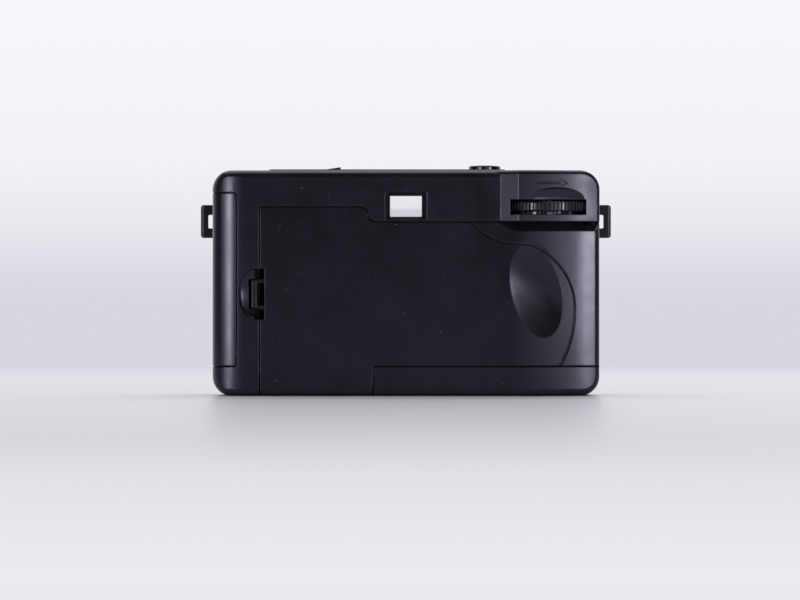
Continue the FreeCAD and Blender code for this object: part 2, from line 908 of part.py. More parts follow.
def dish(deeper):
    """The thumb's hollow: the outermost patch of a ring, so it is round both ways."""
    tilt = math.radians(dish_tilt)
    across = dish_width / 2
    along = dish_length / 2
    short_radius = across ** 2 / 2 / (dish_depth - (across * math.cos(tilt)) ** 2 / 2 / skin_radius)
    long_radius = along ** 2 / 2 / (dish_depth - (along * math.sin(tilt)) ** 2 / 2 / skin_radius)
    away = dish_x - skin_centre[0]
    slope = math.degrees(math.asin(away / skin_radius))
    skin_y = skin_centre[1] - math.sqrt(skin_radius ** 2 - away ** 2)
    ring = Part.makeTorus(long_radius - short_radius, short_radius + deeper, Vec(0, 0, 0), Vec(1, 0, 0))
    ring.translate(Vec(0, dish_depth - long_radius, 0))
    ring.rotate(Vec(0, 0, 0), Vec(0, 1, 0), -dish_tilt)
    ring.rotate(Vec(0, 0, 0), Vec(0, 0, 1), slope)
    ring.translate(Vec(dish_x, skin_y, dish_z))
    return ring


bar_right = column_x - 0.6
bar_left = bar_right - latch_bar_width
hook_half = 9.5
plate_back = inner_back_y + slip
plate_front = plate_back + latch_plate
plate_right = door_left + 3.4


def latch_slider():
    """Finger bar in the column's hollow, on a plate with two hooks behind the door's edge."""
    half = latch_bar_height / 2
    plate = box(bar_left, plate_right, plate_back, plate_front, latch_z - half, latch_z + half)
    bar = box(bar_left, bar_right, back_y + 0.4, plate_front, latch_z - half, latch_z + half)
    bar_edges = [e for e in bar.Edges if e.BoundBox.YMax < back_y + 0.5]
    bar = bar.makeFillet(0.3, bar_edges)
    hooks = box(column_x + latch_hook_short, plate_right, plate_back, plate_front,
                latch_z - hook_half, latch_z + hook_half)
    gap = box(column_x - 1, column_x + latch_hook_short + 1.2, -20, 0,
              latch_z + half + 0.4, latch_z + hook_half - 1.8)
    gaps = gap.fuse(gap.mirror(Vec(0, 0, latch_z), Vec(0, 0, 1)))
    window_right = bar_right + latch_travel + 0.4
    middle = box(bar_right + 0.1, window_right, plate_back, plate_front,
                 latch_z - half + 0.8, latch_z + half - 0.8)
    return cut(fuse(plate, bar, hooks.cut(gaps)), middle)


def latch_guides():
    """Two rails on the door's inner face that the latch plate slides between."""
    start = door_left + 0.3
    end = plate_right + latch_travel + 0.6
    rails = []
    for side in (-1, 1):
        wall0 = latch_z + side * (hook_half + 0.15)
        wall1 = latch_z + side * (hook_half + 1.0)
        lip0 = latch_z + side * (hook_half - 0.5)
        front = plate_front + slip
        rails.append(box(start, end, inner_back_y - 0.2, front + 0.4, min(wall0, wall1), max(wall0, wall1)))
        rails.append(box(start, end, front, front + 0.4, min(lip0, wall1), max(lip0, wall1)))
    stop = box(end - 0.4, end, inner_back_y - 0.2, plate_front, latch_z - 3, latch_z + 3)
    return rails + [stop]


def door_rim():
    """Rib round the door's inside that sits within the shell's ledge against stray light."""
    outside = door_region(-ledge_inset - 0.35)
    inside = door_region(-ledge_inset - 1.25)
    y = inner_back_y - 0.2
    top = box(column_x + 4.5, 22, y, y + 1.4, door_top_right - 2.5, door_top_left + 3)
    low = box(door_notch_x + 2.2, 22, y, y + 1.4, door_bottom, door_bottom + 4)
    return outside.cut(inside).common(top.fuse(low))


def back_door():
    door = body_outer.common(door_zone(0)).cut(body_inner)
    door = door.cut(box(-60, 60, -40, 20, -5, 0.2))
    behind = hump_radius - bevel_deep - 1.5
    stiff_low = door_top_right - bevel_tall
    stiff = revolved([(behind, stiff_low), (hump_radius - 1.0, stiff_low),
                      (hump_radius - 1.0, door_top_right), (behind, door_top_right)],
                     Vec(hump_centre[0], hump_centre[1], 0))
    stiff = stiff.common(box(housing_x, hinge_x - 3.5, -20, -9, stiff_low, door_top_right))
    bulge = dish(dish_wall).common(body_outer)
    door = door.fuse([stiff, bulge, door_rim(), barrel(hinge_radius, door_bottom, door_top_right)])
    door = door.fuse(latch_guides())
    door = door.common(body_outer)
    slot_half = latch_slot_height / 2
    tools = [
        door_bevel(), skin_step(), skin_groove(), dish(0),
        barrel(hinge_pin_radius + hinge_slip, -5, above),
        box(door_left - 2, bar_right + latch_travel + 0.15, -20, inner_back_y + 0.05,
            latch_z - slot_half, latch_z + slot_half),
    ]
    return cut(door, *tools)


# Pressure plate that holds the film flat on the gate, and its leaf spring
pressure_thickness = 0.8
rail_reach = 13.5
pressure_left = gate_left + 0.8
pressure_right = gate_right + 6.0
pressure_y = film_plane_y - 0.15 - pressure_thickness
spring_sheet = 0.2


def pressure_plate():
    half = film_width / 2 - 0.2
    outline = rounded(pressure_left, pressure_right, lens_z - half, lens_z + half, 1.5)
    plate = outline.facing(pressure_y, pressure_y + pressure_thickness)
    front = pressure_y + pressure_thickness
    for z in (lens_z - rail_reach, lens_z + rail_reach):
        plate = plate.cut(box(pressure_left - 1, pressure_right + 1, front - 0.2, 0, z - 0.5, z + 0.5))
    disc_room = sprocket_disc / 2 + 0.4
    notch = box(sprocket_x - 4.2, sprocket_x + 9, -20, 0, sprocket_z - disc_room, sprocket_z + disc_room)
    return cut(plate, notch)


def pressure_spring():
    """A bowed strip: its middle lies on the door, its ends on the plate."""
    middle = (pressure_left + pressure_right) / 2
    half_flat = 3.0
    reach = 13.0
    y0 = inner_back_y
    y1 = pressure_y - spring_sheet
    path = Outline(middle - reach, y1, 0)
    path.to(middle - reach + 2, y1).to(middle - half_flat, y0).to(middle + half_flat, y0)
    path.to(middle + reach - 2, y1).to(middle + reach, y1).to(middle + reach, y1 + spring_sheet)
    path.to(middle + reach - 2, y1 + spring_sheet).to(middle + half_flat, y0 + spring_sheet)
    path.to(middle - half_flat, y0 + spring_sheet).to(middle - reach + 2, y1 + spring_sheet)
    path.to(middle - reach, y1 + spring_sheet).to(middle - reach, y1)
    return path.standing(lens_z - 5, lens_z + 5)


def hinge_pin():
    pin = barrel(hinge_pin_radius, pin_bottom, pin_top)
    return pin.makeChamfer(0.2, [e for e in pin.Edges if e.BoundBox.ZLength < 0.01])


# Battery cover, holder and contacts

def battery_cover():
    cover = body_outer.common(cover_region(0)).cut(body_inner)
    bar = post(cover_pin_x, cover_pin_y, cover_bottom, cover_top, cover_barrel_radius)
    web = box(-half_width + 0.2, cover_pin_x, cover_pin_y - 1.6, cover_pin_y, cover_bottom, cover_top)
    pin_reach = joint_gap + 0.9
    pin = post(cover_pin_x, cover_pin_y, cover_bottom - pin_reach, cover_top + pin_reach, cover_pin_radius)
    ribs = []
    for z in (cover_bottom + 1.0, cover_top - 1.8):
        rib = box(-half_width + 0.5, cover_back_x - 0.8, back_y + 0.5, inner_back_y + 0.7, z, z + 0.8)
        ribs.append(rib.common(body_outer))
    return fuse(cover, bar, web, pin, *ribs)


tray_low = cover_bottom + 2.9
tray_high = tray_low + cell_length + 4.2
contact_sheet = 0.3


def battery_holder():
    """Cradle open to the left, with end walls that carry the two contacts."""
    wall = tray_wall
    front = cell_y + pocket_radius + wall
    right = cell_x + pocket_radius + wall
    block = box(cell_x - 2.0, right, inner_back_y + 1.0, front, tray_low - 1.2, tray_high + 1.2)
    pocket = post(cell_x, cell_y, tray_low, tray_high, pocket_radius)
    open_side = box(-60, cell_x, cell_y - pocket_radius, cell_y + pocket_radius, tray_low, tray_high)
    back_side = box(-60, cell_x + 2.9, -20, cell_y, tray_low, tray_high)
    block = block.cut(pocket.fuse([open_side, back_side]))
    latch_room = box(bar_left - 1.2, 0, -20, plate_front + 1.0,
                     latch_z - hook_half - 1.6, latch_z + hook_half + 1.6)
    return cut(block, latch_room)


def battery_contact_plate():
    """Flat contact with a pip, against the upper end wall."""
    sheet = box(cell_x - 1.8, cell_x + 3.5, cell_y - 3, cell_y + 3, tray_high - contact_sheet, tray_high)
    pip = post(cell_x, cell_y, tray_high - 0.9, tray_high, 1.2)
    return fuse(sheet, pip)


wire_sides = 6


def coil_spring(x, y, z0, pitch, turns, radius, wire):
    """One unbroken wire, six-sided, swept along a helix."""
    path = Part.makeHelix(pitch, pitch * turns, radius)
    path.translate(Vec(x, y, z0))
    first = path.Edges[0]
    start = first.valueAt(first.FirstParameter)
    heading = first.tangentAt(first.FirstParameter)
    outward = Vec(1, 0, 0)
    upward = heading.cross(outward)
    spots = []
    for k in range(wire_sides + 1):
        angle = 2 * math.pi * (k + 0.5) / wire_sides
        spots.append(start + outward * (wire * math.cos(angle)) + upward * (wire * math.sin(angle)))
    return Part.Wire(path.Edges).makePipeShell([Part.makePolygon(spots)], True, True)


def battery_contact_spring():
    """Coil for the cell's flat end, on a small plate on the lower end wall."""
    sheet = box(cell_x - 1.8, cell_x + 3.5, cell_y - 3, cell_y + 3, tray_low, tray_low + contact_sheet)
    coil = coil_spring(cell_x, cell_y, tray_low + contact_sheet + 0.15, 1.0, 2.5, 2.6, 0.25)
    return fuse(sheet, coil)


# Film chassis: cassette chamber, gate and take-up chamber in one moulding, with the light box in front
chassis_wall = 1.0
plate_thickness = 1.2
light_box_front = 10.3
stop_half = 4.5
flange_radius = 11.5
sprocket_disc = 1.4
shaft_hole = shaft_radius + 0.1
spool_journal = 4.0
deck_reach = 5.5
spool_foot = 2.0
rewind_hole = 3.0


def cassette_chamber():
    low = cassette_low - 0.9
    high = cassette_high + 0.5
    r0 = chamber_radius
    r1 = chamber_radius + chamber_wall
    tube = post(cassette_x, cassette_y, low, high + 1.0, r1)
    for x in (cassette_x - r1, cassette_x + r0):
        tube = tube.fuse(box(x, x + chamber_wall, gate_y, cassette_y, low, high + 1.0))
    room = post(cassette_x, cassette_y, low + 0.9, high, r0)
    room = room.fuse(box(cassette_x - r0, cassette_x + r0, -20, cassette_y, low + 0.9, high))
    tube = tube.cut(room)
    tube = tube.cut(box(-60, 0, -20, gate_y, 0, above))
    seat = post(cassette_x, cassette_y, low - 1, low + 2, 6.0)
    seat = seat.fuse(box(cassette_x - 6, cassette_x + 6, -20, cassette_y, low - 1, low + 2))
    hole = post(cassette_x, cassette_y, high - 1, high + 2, rewind_hole)
    return tube.cut(seat.fuse(hole))


def take_up_chamber():
    r0 = spool_chamber_radius
    tube = post(wheel_x, wheel_y, floor_z, deck_z + deck_thickness, r0 + chassis_wall)
    room = post(wheel_x, wheel_y, floor_z + floor_thickness, deck_z, r0)
    mouth = box(wheel_x - 15, wheel_x + 15, -20, wheel_y - 4.3, floor_z + floor_thickness, deck_z)
    return tube.cut(room.fuse(mouth)).cut(box(0, 60, -20, wheel_y - deck_reach, 0, above))


chassis_left = -8.0
deck_left = 12.0
plate_right_end = 28.8
deck_front = 7.0
floor_front = 11.8
film_rail_half = 0.5
edge_rail_half = 0.7


def light_taper(extra, y0, y1):
    """The pyramid of light from the stop to the gate, grown by extra, as a block from y0 to y1."""
    def half_at(y, gate_half):
        share = (y - gate_y) / (light_box_front - gate_y)
        return gate_half + (stop_half - gate_half) * share + extra

    return taper(lens_x, lens_z, y0, half_at(y0, gate_width / 2), half_at(y0, gate_height / 2),
                 y1, half_at(y1, gate_width / 2), half_at(y1, gate_height / 2))


def light_box():
    """Tapered tunnel glued to the front of the gate plate, with a round flange for the shutter."""
    back = gate_y + plate_thickness
    walls = light_taper(chassis_wall, back, light_box_front)
    flange = rod_y(lens_x, lens_z, light_box_front - chassis_wall, light_box_front, flange_radius)
    room = light_taper(0, back - 0.1, light_box_front + 0.1)
    grooves = []
    for y in (-6.0, -2.0, 2.0):
        grooves.append(light_taper(0.3, y, y + 0.8))
    return cut(fuse(walls, flange), room, *grooves)


def gate_plate():
    left = cassette_x + chamber_radius
    right = plate_right_end
    plate = box(left, right, gate_y, gate_y + plate_thickness, floor_z, deck_top - 0.6)
    for z in (lens_z - rail_reach + 0.5, lens_z + rail_reach - 0.5):
        plate = plate.fuse(box(left, right, film_plane_y, gate_y, z - film_rail_half, z + film_rail_half))
    for z in (lens_z - film_width / 2 - 0.9, lens_z + film_width / 2 + 0.9):
        rail = box(left, right, film_plane_y - 0.15, gate_y, z - edge_rail_half, z + edge_rail_half)
        plate = plate.fuse(rail)
    return plate


def film_chassis():
    right = wheel_x + spool_chamber_radius
    behind_door = wheel_y - deck_reach
    deck = box(deck_left, right, behind_door, deck_front, deck_z, deck_top)
    deck = deck.fuse(box(deck_left, plate_right_end, gate_y, behind_door, deck_z, deck_top))
    floor_top = floor_z + floor_thickness
    floor = box(chassis_left, right, behind_door, floor_front, floor_z, floor_top)
    floor = floor.fuse(box(chassis_left, plate_right_end, gate_y, behind_door, floor_z, floor_top))
    solid = cassette_chamber().fuse([take_up_chamber(), gate_plate(), deck, floor])
    bosses = [post(x, y, boss_top + slip, floor_z + 0.5, 2.2) for x, y in screw_spots]
    solid = solid.fuse(bosses + lever_mount())
    spool_room = post(wheel_x, wheel_y, floor_top, deck_z, spool_chamber_radius)
    disc_room = sprocket_disc / 2 + 0.4
    around = box(sprocket_x - 8, sprocket_x + 8, -20, 5.0, sprocket_z - disc_room, sprocket_z + disc_room)
    latch_room = box(-60, plate_right + latch_travel + 1.2, -20, plate_front + 1.0,
                     latch_z - hook_half - 1.6, latch_z + hook_half + 1.6)
    tools = [
        light_taper(0, gate_y - 1.0, gate_y + plate_thickness + 0.1), spool_room, latch_room,
        around.common(post(sprocket_x, sprocket_y, 30, above, sprocket_radius + 1.5)),
        post(sprocket_x, sprocket_y, 0, above, shaft_hole),
        post(wheel_x, wheel_y, 40, above, spool_journal + slip),
        post(wheel_x, wheel_y, 5, 20, spool_foot + slip),
        post(cassette_x, cassette_y, cassette_low, cassette_high, chamber_radius),
    ]
    tools += [post(x, y, 0, floor_z, screw_radius + 0.02) for x, y in screw_spots]
    return cut(solid, *tools)

# Viewfinder

def viewfinder_tunnel():
    """Black funnel between the two glasses, on a foot that stands on the gate plate."""
    y0 = inner_back_y + joint_gap + ledge_depth + slip
    y1 = finder_lens_back - slip
    wide = 2 * finder_tunnel_wall
    skin = flare(finder_width + wide, finder_tall + wide, y0,
                 finder_front_width + wide, finder_front_tall + wide, y1)
    room = flare(finder_width, finder_tall, y0 - 0.01, finder_front_width, finder_front_tall, y1 + 0.01)
    foot_low = deck_top - 0.6
    foot = box(-3, 3, gate_y + 0.1, gate_y + 1.2, foot_low, finder_z - finder_tall / 2 - 0.3)
    return cut(fuse(skin, foot), room)


def viewfinder_eyepiece():
    width = finder_width + 2 * finder_glass_margin - 0.1
    tall = finder_tall + 2 * finder_glass_margin - 0.1
    return window(width, tall, eyepiece_y, eyepiece_y + eyepiece_thickness, radius=0.95)


def viewfinder_front_lens():
    """A weak concave lens that rests on the inside of the front wall."""
    y0 = finder_lens_back
    y1 = y0 + finder_lens_thickness
    glass = window(finder_front_width + 1.4, finder_front_tall + 1.4, y0, y1, radius=0.8)
    ball_radius = 26.0
    ball = Part.makeSphere(ball_radius, Vec(finder_x, y0 - ball_radius + 0.9, finder_z))
    return cut(glass, ball)


# Lens and shutter
element_radius = 4.5
element_slip = 0.05
ring_back = front_y - panel_sunk + 0.02
ring_front = front_y + lens_proud
barrel_back = 12.7
seat_y = 19.2
bell_radius = 9.2
glass_window = 4.1
rear_glass_y = 14.0
rear_glass_thickness = 1.2
stop_y = 16.0
stop_thickness = 1.2
front_glass_y = 17.3
front_glass_thickness = 1.0


def lens_barrel():
    """Turned ring: tube through the front wall, flange on it, cone, and the bell round the glass."""
    tube = lens_hole_radius - slip
    bore = element_radius + element_slip
    points = [
        (bore, barrel_back), (tube, barrel_back), (tube, ring_back), (lens_ring_radius, ring_back),
        (lens_ring_radius, ring_back + 1.6), (lens_ring_radius - 0.5, ring_back + 1.6),
        (lens_ring_radius - 0.5, ring_back + 2.1), (lens_ring_radius, ring_back + 2.1),
        (lens_ring_radius - 1.3, ring_front - 0.8), (lens_ring_radius - 2.1, ring_front),
        (bell_radius + 0.4, ring_front), (bell_radius, ring_front - 0.5), (glass_window + 1.1, seat_y + 0.3),
        (glass_window, seat_y + 0.3), (glass_window, seat_y), (bore, seat_y),
    ]
    return revolved(points, Vec(lens_x, 0, lens_z), "y")


def ground(solid, y, bulge, towards):
    """Grinds one face: a dome that rises by bulge, or a hollow where bulge is negative."""
    reach = element_radius - 0.4
    deep = abs(bulge)
    ball_radius = (reach ** 2 + deep ** 2) / (2 * deep)
    if bulge > 0:
        centre = y + towards * (bulge - ball_radius)
        return solid.common(Part.makeSphere(ball_radius, Vec(lens_x, centre, lens_z)).fuse(
            rod_y(lens_x, lens_z, min(y, y - towards * 5), max(y, y - towards * 5), element_radius)))
    centre = y + towards * (ball_radius - deep)
    return solid.cut(Part.makeSphere(ball_radius, Vec(lens_x, centre, lens_z)))


def lens_element(y0, y1, bulge_back, bulge_front):
    """Glass with a rim and two ground faces."""
    back = max(bulge_back, 0)
    front = max(bulge_front, 0)
    glass = rod_y(lens_x, lens_z, y0 - back, y1 + front, element_radius)
    glass = ground(glass, y1, bulge_front, 1)
    return ground(glass, y0, bulge_back, -1).removeSplitter()


def aperture_plate():
    """Spacer between the elements with the stop in its middle."""
    ring = rod_y(lens_x, lens_z, stop_y, stop_y + stop_thickness, element_radius)
    cone = Part.makeCone(1.7, 3.6, stop_thickness, Vec(lens_x, stop_y, lens_z), Vec(0, 1, 0))
    return cut(ring, cone)


blade_pivot_reach = 8.5
blade_pivot_angle = 30.0
blade_radius = 4.6
blade_y = 10.7
blade_sheet = 0.3
shutter_hole = 3.6
shutter_plate_y = 11.5
shutter_plate_thickness = 1.0


def around_lens(reach, degrees):
    angle = math.radians(degrees)
    return lens_x + reach * math.cos(angle), lens_z + reach * math.sin(angle)


def shutter_plate():
    """Plate behind the lens that carries the blade, on three legs off the light box."""
    plate = rod_y(lens_x, lens_z, shutter_plate_y, shutter_plate_y + shutter_plate_thickness,
                  flange_radius - 0.5)
    x, z = around_lens(blade_pivot_reach, blade_pivot_angle)
    legs = [rod_y(x, z, blade_y - 0.2, shutter_plate_y, 0.7)]
    for degrees in (110, 180, 250):
        x, z = around_lens(flange_radius - 2.2, degrees)
        legs.append(rod_y(x, z, light_box_front, shutter_plate_y, 1.3))
    return cut(fuse(plate, *legs), rod_y(lens_x, lens_z, 0, 20, shutter_hole))


def shutter_blade():
    x, z = around_lens(blade_pivot_reach, blade_pivot_angle)
    y1 = blade_y + blade_sheet
    disc = rod_y(lens_x, lens_z, blade_y, y1, blade_radius)
    eye = rod_y(x, z, blade_y, y1, 1.6)
    arm = box(0, blade_pivot_reach, blade_y, y1, -1.2, 1.2)
    arm.rotate(Vec(0, 0, 0), Vec(0, 1, 0), -blade_pivot_angle)
    arm.translate(Vec(lens_x, 0, lens_z))
    return cut(fuse(disc, eye, arm), rod_y(x, z, 0, 20, 0.75))


# Flash
tube_radius = 0.9
tube_y = 12.0
reflector_back = 10.0


def flash_reflector():
    """Bright trough, round at the back and open to the window."""
    half_x = flash_width / 2 - 1.0
    half_z = flash_tall / 2 - 0.75
    block = box(flash_x - half_x, flash_x + half_x, reflector_back, inner_front_y - 0.1,
                flash_z - half_z, flash_z + half_z)
    trough = ellipsoid((flash_x, inner_front_y, flash_z), 60, 2.9, half_z - 0.4)
    inside = box(flash_x - half_x + 0.5, flash_x + half_x - 0.5, 0, 20, flash_z - half_z, flash_z + half_z)
    return cut(block, trough.common(inside), rod_x(tube_y, flash_z, -60, 0, tube_radius + 0.05))


def flash_tube():
    half = flash_width / 2 - 0.4
    glass = rod_x(tube_y, flash_z, flash_x - half, flash_x + half, tube_radius)
    return glass.makeChamfer(0.3, [e for e in glass.Edges if e.BoundBox.XLength < 0.01])


def flash_diffuser():
    """Window with upright prisms on its back."""
    plate = flash_window(-0.02, front_y - 1.05, front_y + 0.35)
    plate = plate.makeChamfer(0.3, [e for e in plate.Edges if e.BoundBox.YMin > front_y + 0.34])
    half = flash_width / 2 - 2.5
    pitch = 1.0
    prisms = []
    for k in range(int(2 * half / pitch)):
        x = flash_x - half + (k + 0.5) * pitch
        path = Outline(x - 0.4, front_y - 1.04, 0)
        path.to(x + 0.4, front_y - 1.04).to(x, front_y - 1.4).to(x - 0.4, front_y - 1.04)
        prisms.append(path.standing(flash_z - 3.4, flash_z + 3.4))
    return fuse(plate, *prisms)


board_y = 12.3
board_thickness = 1.0
board_left = 19.0
board_right = 47.0
board_low = 12.0
board_high = 42.0
board_hole = 1.1
capacitor_radius = 4.2
capacitor_x = 21.5
capacitor_low = 12.0
capacitor_length = 26.0
transformer_x = 37.0
transformer_z = 30.0
transformer_core = 8.0
transformer_coil = 10.4


def flash_board():
    outline = rounded(board_left, board_right, board_low, board_high, 1.0)
    board = outline.facing(board_y, board_y + board_thickness)
    return cut(board, rod_y(board_left + 3, board_high - 3, 0, 20, board_hole),
               rod_y(board_right - 3, board_low + 3, 0, 20, board_hole))


def flash_capacitor():
    y = board_y - 0.1 - capacitor_radius
    high = capacitor_low + capacitor_length
    body = post(capacitor_x, y, capacitor_low, high, capacitor_radius)
    body = body.makeChamfer(0.6, [e for e in body.Edges if e.BoundBox.ZLength < 0.01])
    neck = post(capacitor_x, y, high - 3.4, high - 2.8, capacitor_radius - 0.25)
    groove = post(capacitor_x, y, high - 3.4, high - 2.8, 9).cut(neck)
    return cut(body, groove)


def flash_transformer():
    half = transformer_core / 2
    tall = transformer_coil / 2
    x = transformer_x
    z = transformer_z
    core = box(x - half, x + half, board_y - 4.3, board_y - 0.1, z - half, z + half)
    coil = box(x - half + 1.2, x + half - 1.2, board_y - 4.9, board_y - 0.3, z - tall, z + tall)
    return fuse(core, coil)


def flash_switch():
    knob_back = front_y - panel_sunk + front_panel_thickness + slip
    knob_front = front_y + 1.5
    knob = box(switch_x - 3.2, switch_x + 3.2, knob_back, knob_front, switch_z - 2.0, switch_z + 2.0)
    knob = knob.makeFillet(0.5, [e for e in knob.Edges if e.BoundBox.YMin > knob_front - 0.01])
    grooves = []
    for x in (switch_x - 1.2, switch_x, switch_x + 1.2):
        grooves.append(box(x - 0.25, x + 0.25, knob_front - 0.4, 20, switch_z - 4, switch_z + 4))
    half = switch_stem_width / 2
    tall = switch_stem_tall / 2
    stem = box(switch_x - half, switch_x + half, inner_front_y - 0.3, knob_back + 0.1,
               switch_z - tall, switch_z + tall)
    foot = box(switch_x - 2.6, switch_x + 2.6, inner_front_y - 0.9, inner_front_y - slip,
               switch_z - 1.8, switch_z + 1.8)
    return fuse(cut(knob, *grooves), stem, foot)


lamp_dome = 2.6


def ready_lamp():
    lens = post(lamp_x, lamp_y, roof_z - 1.0, top_z + 0.2, lamp_radius)
    lens = lens.common(Part.makeSphere(lamp_dome, Vec(lamp_x, lamp_y, top_z + 0.2 - lamp_dome)))
    return fuse(lens, post(lamp_x, lamp_y, roof_z - 0.9, roof_z - 0.05, lamp_radius + 0.7))


# Winding

def tooth_outline(x, y, z, radius, depth, teeth, share):
    """A round of tapered teeth at one height."""
    spots = []
    pitch = 2 * math.pi / teeth
    for k in range(teeth):
        for offset, reach in ((-share, radius), (share, radius), (0.5 - share * 0.6, radius - depth),
                              (0.5 + share * 0.6, radius - depth)):
            angle = (k + offset) * pitch
            spots.append(Vec(x + reach * math.cos(angle), y + reach * math.sin(angle), z))
    spots.append(spots[0])
    return Part.makePolygon(spots)


def toothed_rim(x, y, z0, z1, radius, depth, teeth, share):
    return Part.Face(tooth_outline(x, y, z0, radius, depth, teeth, share)).extrude(Vec(0, 0, z1 - z0))


wheel_lip = 0.4
stub_radius = 2.5
ratchet_teeth = 24


def advance_wheel():
    """Thumb wheel: toothed rim with bevelled lips, a web, a hub and a ratchet ring below."""
    heights = ((wheel_bottom, wheel_lip), (wheel_bottom + wheel_lip, 0), (wheel_top - wheel_lip, 0),
               (wheel_top, wheel_lip))
    rims = [tooth_outline(wheel_x, wheel_y, z, wheel_radius - inset, tooth_depth, wheel_teeth, 0.2)
            for z, inset in heights]
    wheel = Part.makeLoft(rims, True, True)
    wheel = wheel.cut(post(wheel_x, wheel_y, wheel_top - 0.9, wheel_top + 1, wheel_radius - 2.4))
    hub = post(wheel_x, wheel_y, deck_z + deck_thickness + 0.3, wheel_bottom, 5.2)
    ratchet = toothed_rim(wheel_x, wheel_y, wheel_bottom - 1.2, wheel_bottom, 8.6, 0.7, ratchet_teeth, 0.12)
    wheel = fuse(wheel, hub, ratchet)
    flat = post(wheel_x, wheel_y, 40, above, stub_radius + 0.05)
    flat = flat.cut(box(wheel_x + stub_radius - 0.5 + 0.05, 70, -60, 60, 30, above))
    return cut(wheel, flat)


def take_up_spool():
    """Slotted core on a foot, with a journal in the deck and a flatted stub for the wheel."""
    low = floor_z + floor_thickness
    core = post(wheel_x, wheel_y, low + 0.2, deck_z - 0.2, spool_core_radius)
    lip = post(wheel_x, wheel_y, low + 0.2, low + 1.4, spool_core_radius + 1.6)
    foot = post(wheel_x, wheel_y, floor_z + 0.1, low + 0.2, spool_foot)
    journal = post(wheel_x, wheel_y, deck_z - 0.2, deck_z + deck_thickness + 0.2, spool_journal)
    stub = post(wheel_x, wheel_y, deck_z + deck_thickness, wheel_top + 0.6, stub_radius)
    stub = stub.cut(box(wheel_x + stub_radius - 0.5, 70, -60, 60, 30, above))
    spool = fuse(core, lip, foot, journal, stub)
    slots = []
    for degrees in (0, 60, 120):
        slot = box(-9, 9, -0.5, 0.5, lens_z - 15, lens_z + 15)
        slot.rotate(Vec(0, 0, 0), Vec(0, 0, 1), degrees)
        slot.translate(Vec(wheel_x, wheel_y, 0))
        slots.append(slot.cut(post(wheel_x, wheel_y, 0, 60, 2.2)))
    return cut(spool, *slots)


pawl_left = 33.5
pawl_length = 11.5


def pawl_spring():
    """Bent spring strip on the housing's floor whose two raised tabs drag under the wheel."""
    floor = door_top_right + housing_wall
    y0 = wheel_y - wheel_radius + 2.7
    strip = box(pawl_left, pawl_left + pawl_length, y0, y0 + 1.8, floor + 0.05, floor + 0.35)
    tabs = []
    for x, wide in ((pawl_left + 3.5, 0.7), (pawl_left + 8.5, 1.6)):
        tabs.append(box(x - wide / 2, x + wide / 2, y0 - 0.3, y0, floor + 0.05, wheel_bottom - joint_gap))
    return fuse(strip, *tabs)


driver_radius = 1.5
dial_thickness = 0.8


def sprocket_wheel():
    """Long shaft with the toothed film drum near its top and the counter's driver at its end."""
    shaft = post(sprocket_x, sprocket_y, 4.9, dial_z + dial_thickness, shaft_radius)
    half = sprocket_disc / 2
    drum = post(sprocket_x, sprocket_y, sprocket_z - half, sprocket_z + half, sprocket_radius)
    grip = post(sprocket_x, sprocket_y, floor_z + floor_thickness + 0.1, deck_z - 0.1, 2.4)
    driver = box(sprocket_x - driver_radius - 0.25, sprocket_x, sprocket_y - 0.3, sprocket_y + 0.3,
                 dial_z, dial_z + dial_thickness)
    wheel = fuse(shaft, drum, grip, driver)
    teeth = []
    for k in range(sprocket_teeth):
        tooth = taper(0, 0, sprocket_radius - 0.3, 0.9, 0.55, sprocket_radius + 1.2, 0.45, 0.35)
        tooth.rotate(Vec(0, 0, 0), Vec(0, 0, 1), (k + 0.5) * 360 / sprocket_teeth)
        tooth.translate(Vec(sprocket_x, sprocket_y, sprocket_z))
        teeth.append(tooth)
    return fuse(wheel, *teeth)


def counter_dial():
    """Frame counter disc with a fine toothed edge, on the post that stands on the deck."""
    disc = toothed_rim(dial_x, dial_y, dial_z, dial_z + dial_thickness, dial_radius, 0.35, 40, 0.15)
    hub = post(dial_x, dial_y, dial_z - 0.6, dial_z, 1.8)
    return cut(fuse(disc, hub), post(dial_x, dial_y, under_roof, above, 0.9))


def counter_window():
    plate = dial_window(-0.06, panel_floor, top_z - 0.05)
    return fuse(plate, dial_window(0.45, panel_floor - 0.6, panel_floor))


# Release

lever_pivot_x = 16.0
lever_left = 9.0
lever_z = roof_z - 7.6
lever_half = 0.8


def shutter_button():
    """Domed cap with a rounded lip, on a stem that ends in a small nose over the lever."""
    cap_low = button_well + button_travel + 0.1
    cap_top = top_z + button_proud
    cap = post(button_x, button_y, cap_low, cap_top - 0.25, button_radius)
    cap = cap.makeFillet(0.45, [e for e in cap.Edges if e.BoundBox.ZMin > cap_low + 0.5])
    dome = post(button_x, button_y, cap_low, cap_top, button_radius - 1.0)
    ball = 24.0
    dome = dome.common(Part.makeSphere(ball, Vec(button_x, button_y, cap_top - ball)))
    nose_low = lever_z + lever_half + 0.15
    stem = post(button_x, button_y, nose_low + 0.8, cap_low, button_stem_radius - 0.6)
    collar = post(button_x, button_y, roof_z - 0.9, cap_low, button_stem_radius)
    nose = Part.makeSphere(0.8, Vec(button_x, button_y, nose_low + 0.8))
    return fuse(cap, dome, collar, stem, nose)


def button_spring():
    wire = 0.18
    low = button_well + wire + 0.02
    high = button_well + button_travel + 0.1 - wire - 0.02
    return coil_spring(button_x, button_y, low, (high - low) / 2, 2, 3.3, wire)


def release_lever():
    bar = box(lever_left, button_x + 1.4, button_y - 1.2, button_y + 1.2,
              lever_z - lever_half, lever_z + lever_half)
    eye = rod_y(lever_pivot_x, lever_z, button_y - 1.2, button_y + 1.2, 1.6)
    hole = rod_y(lever_pivot_x, lever_z, button_y - 3, button_y + 3, 0.75)
    return cut(fuse(bar, eye), hole)


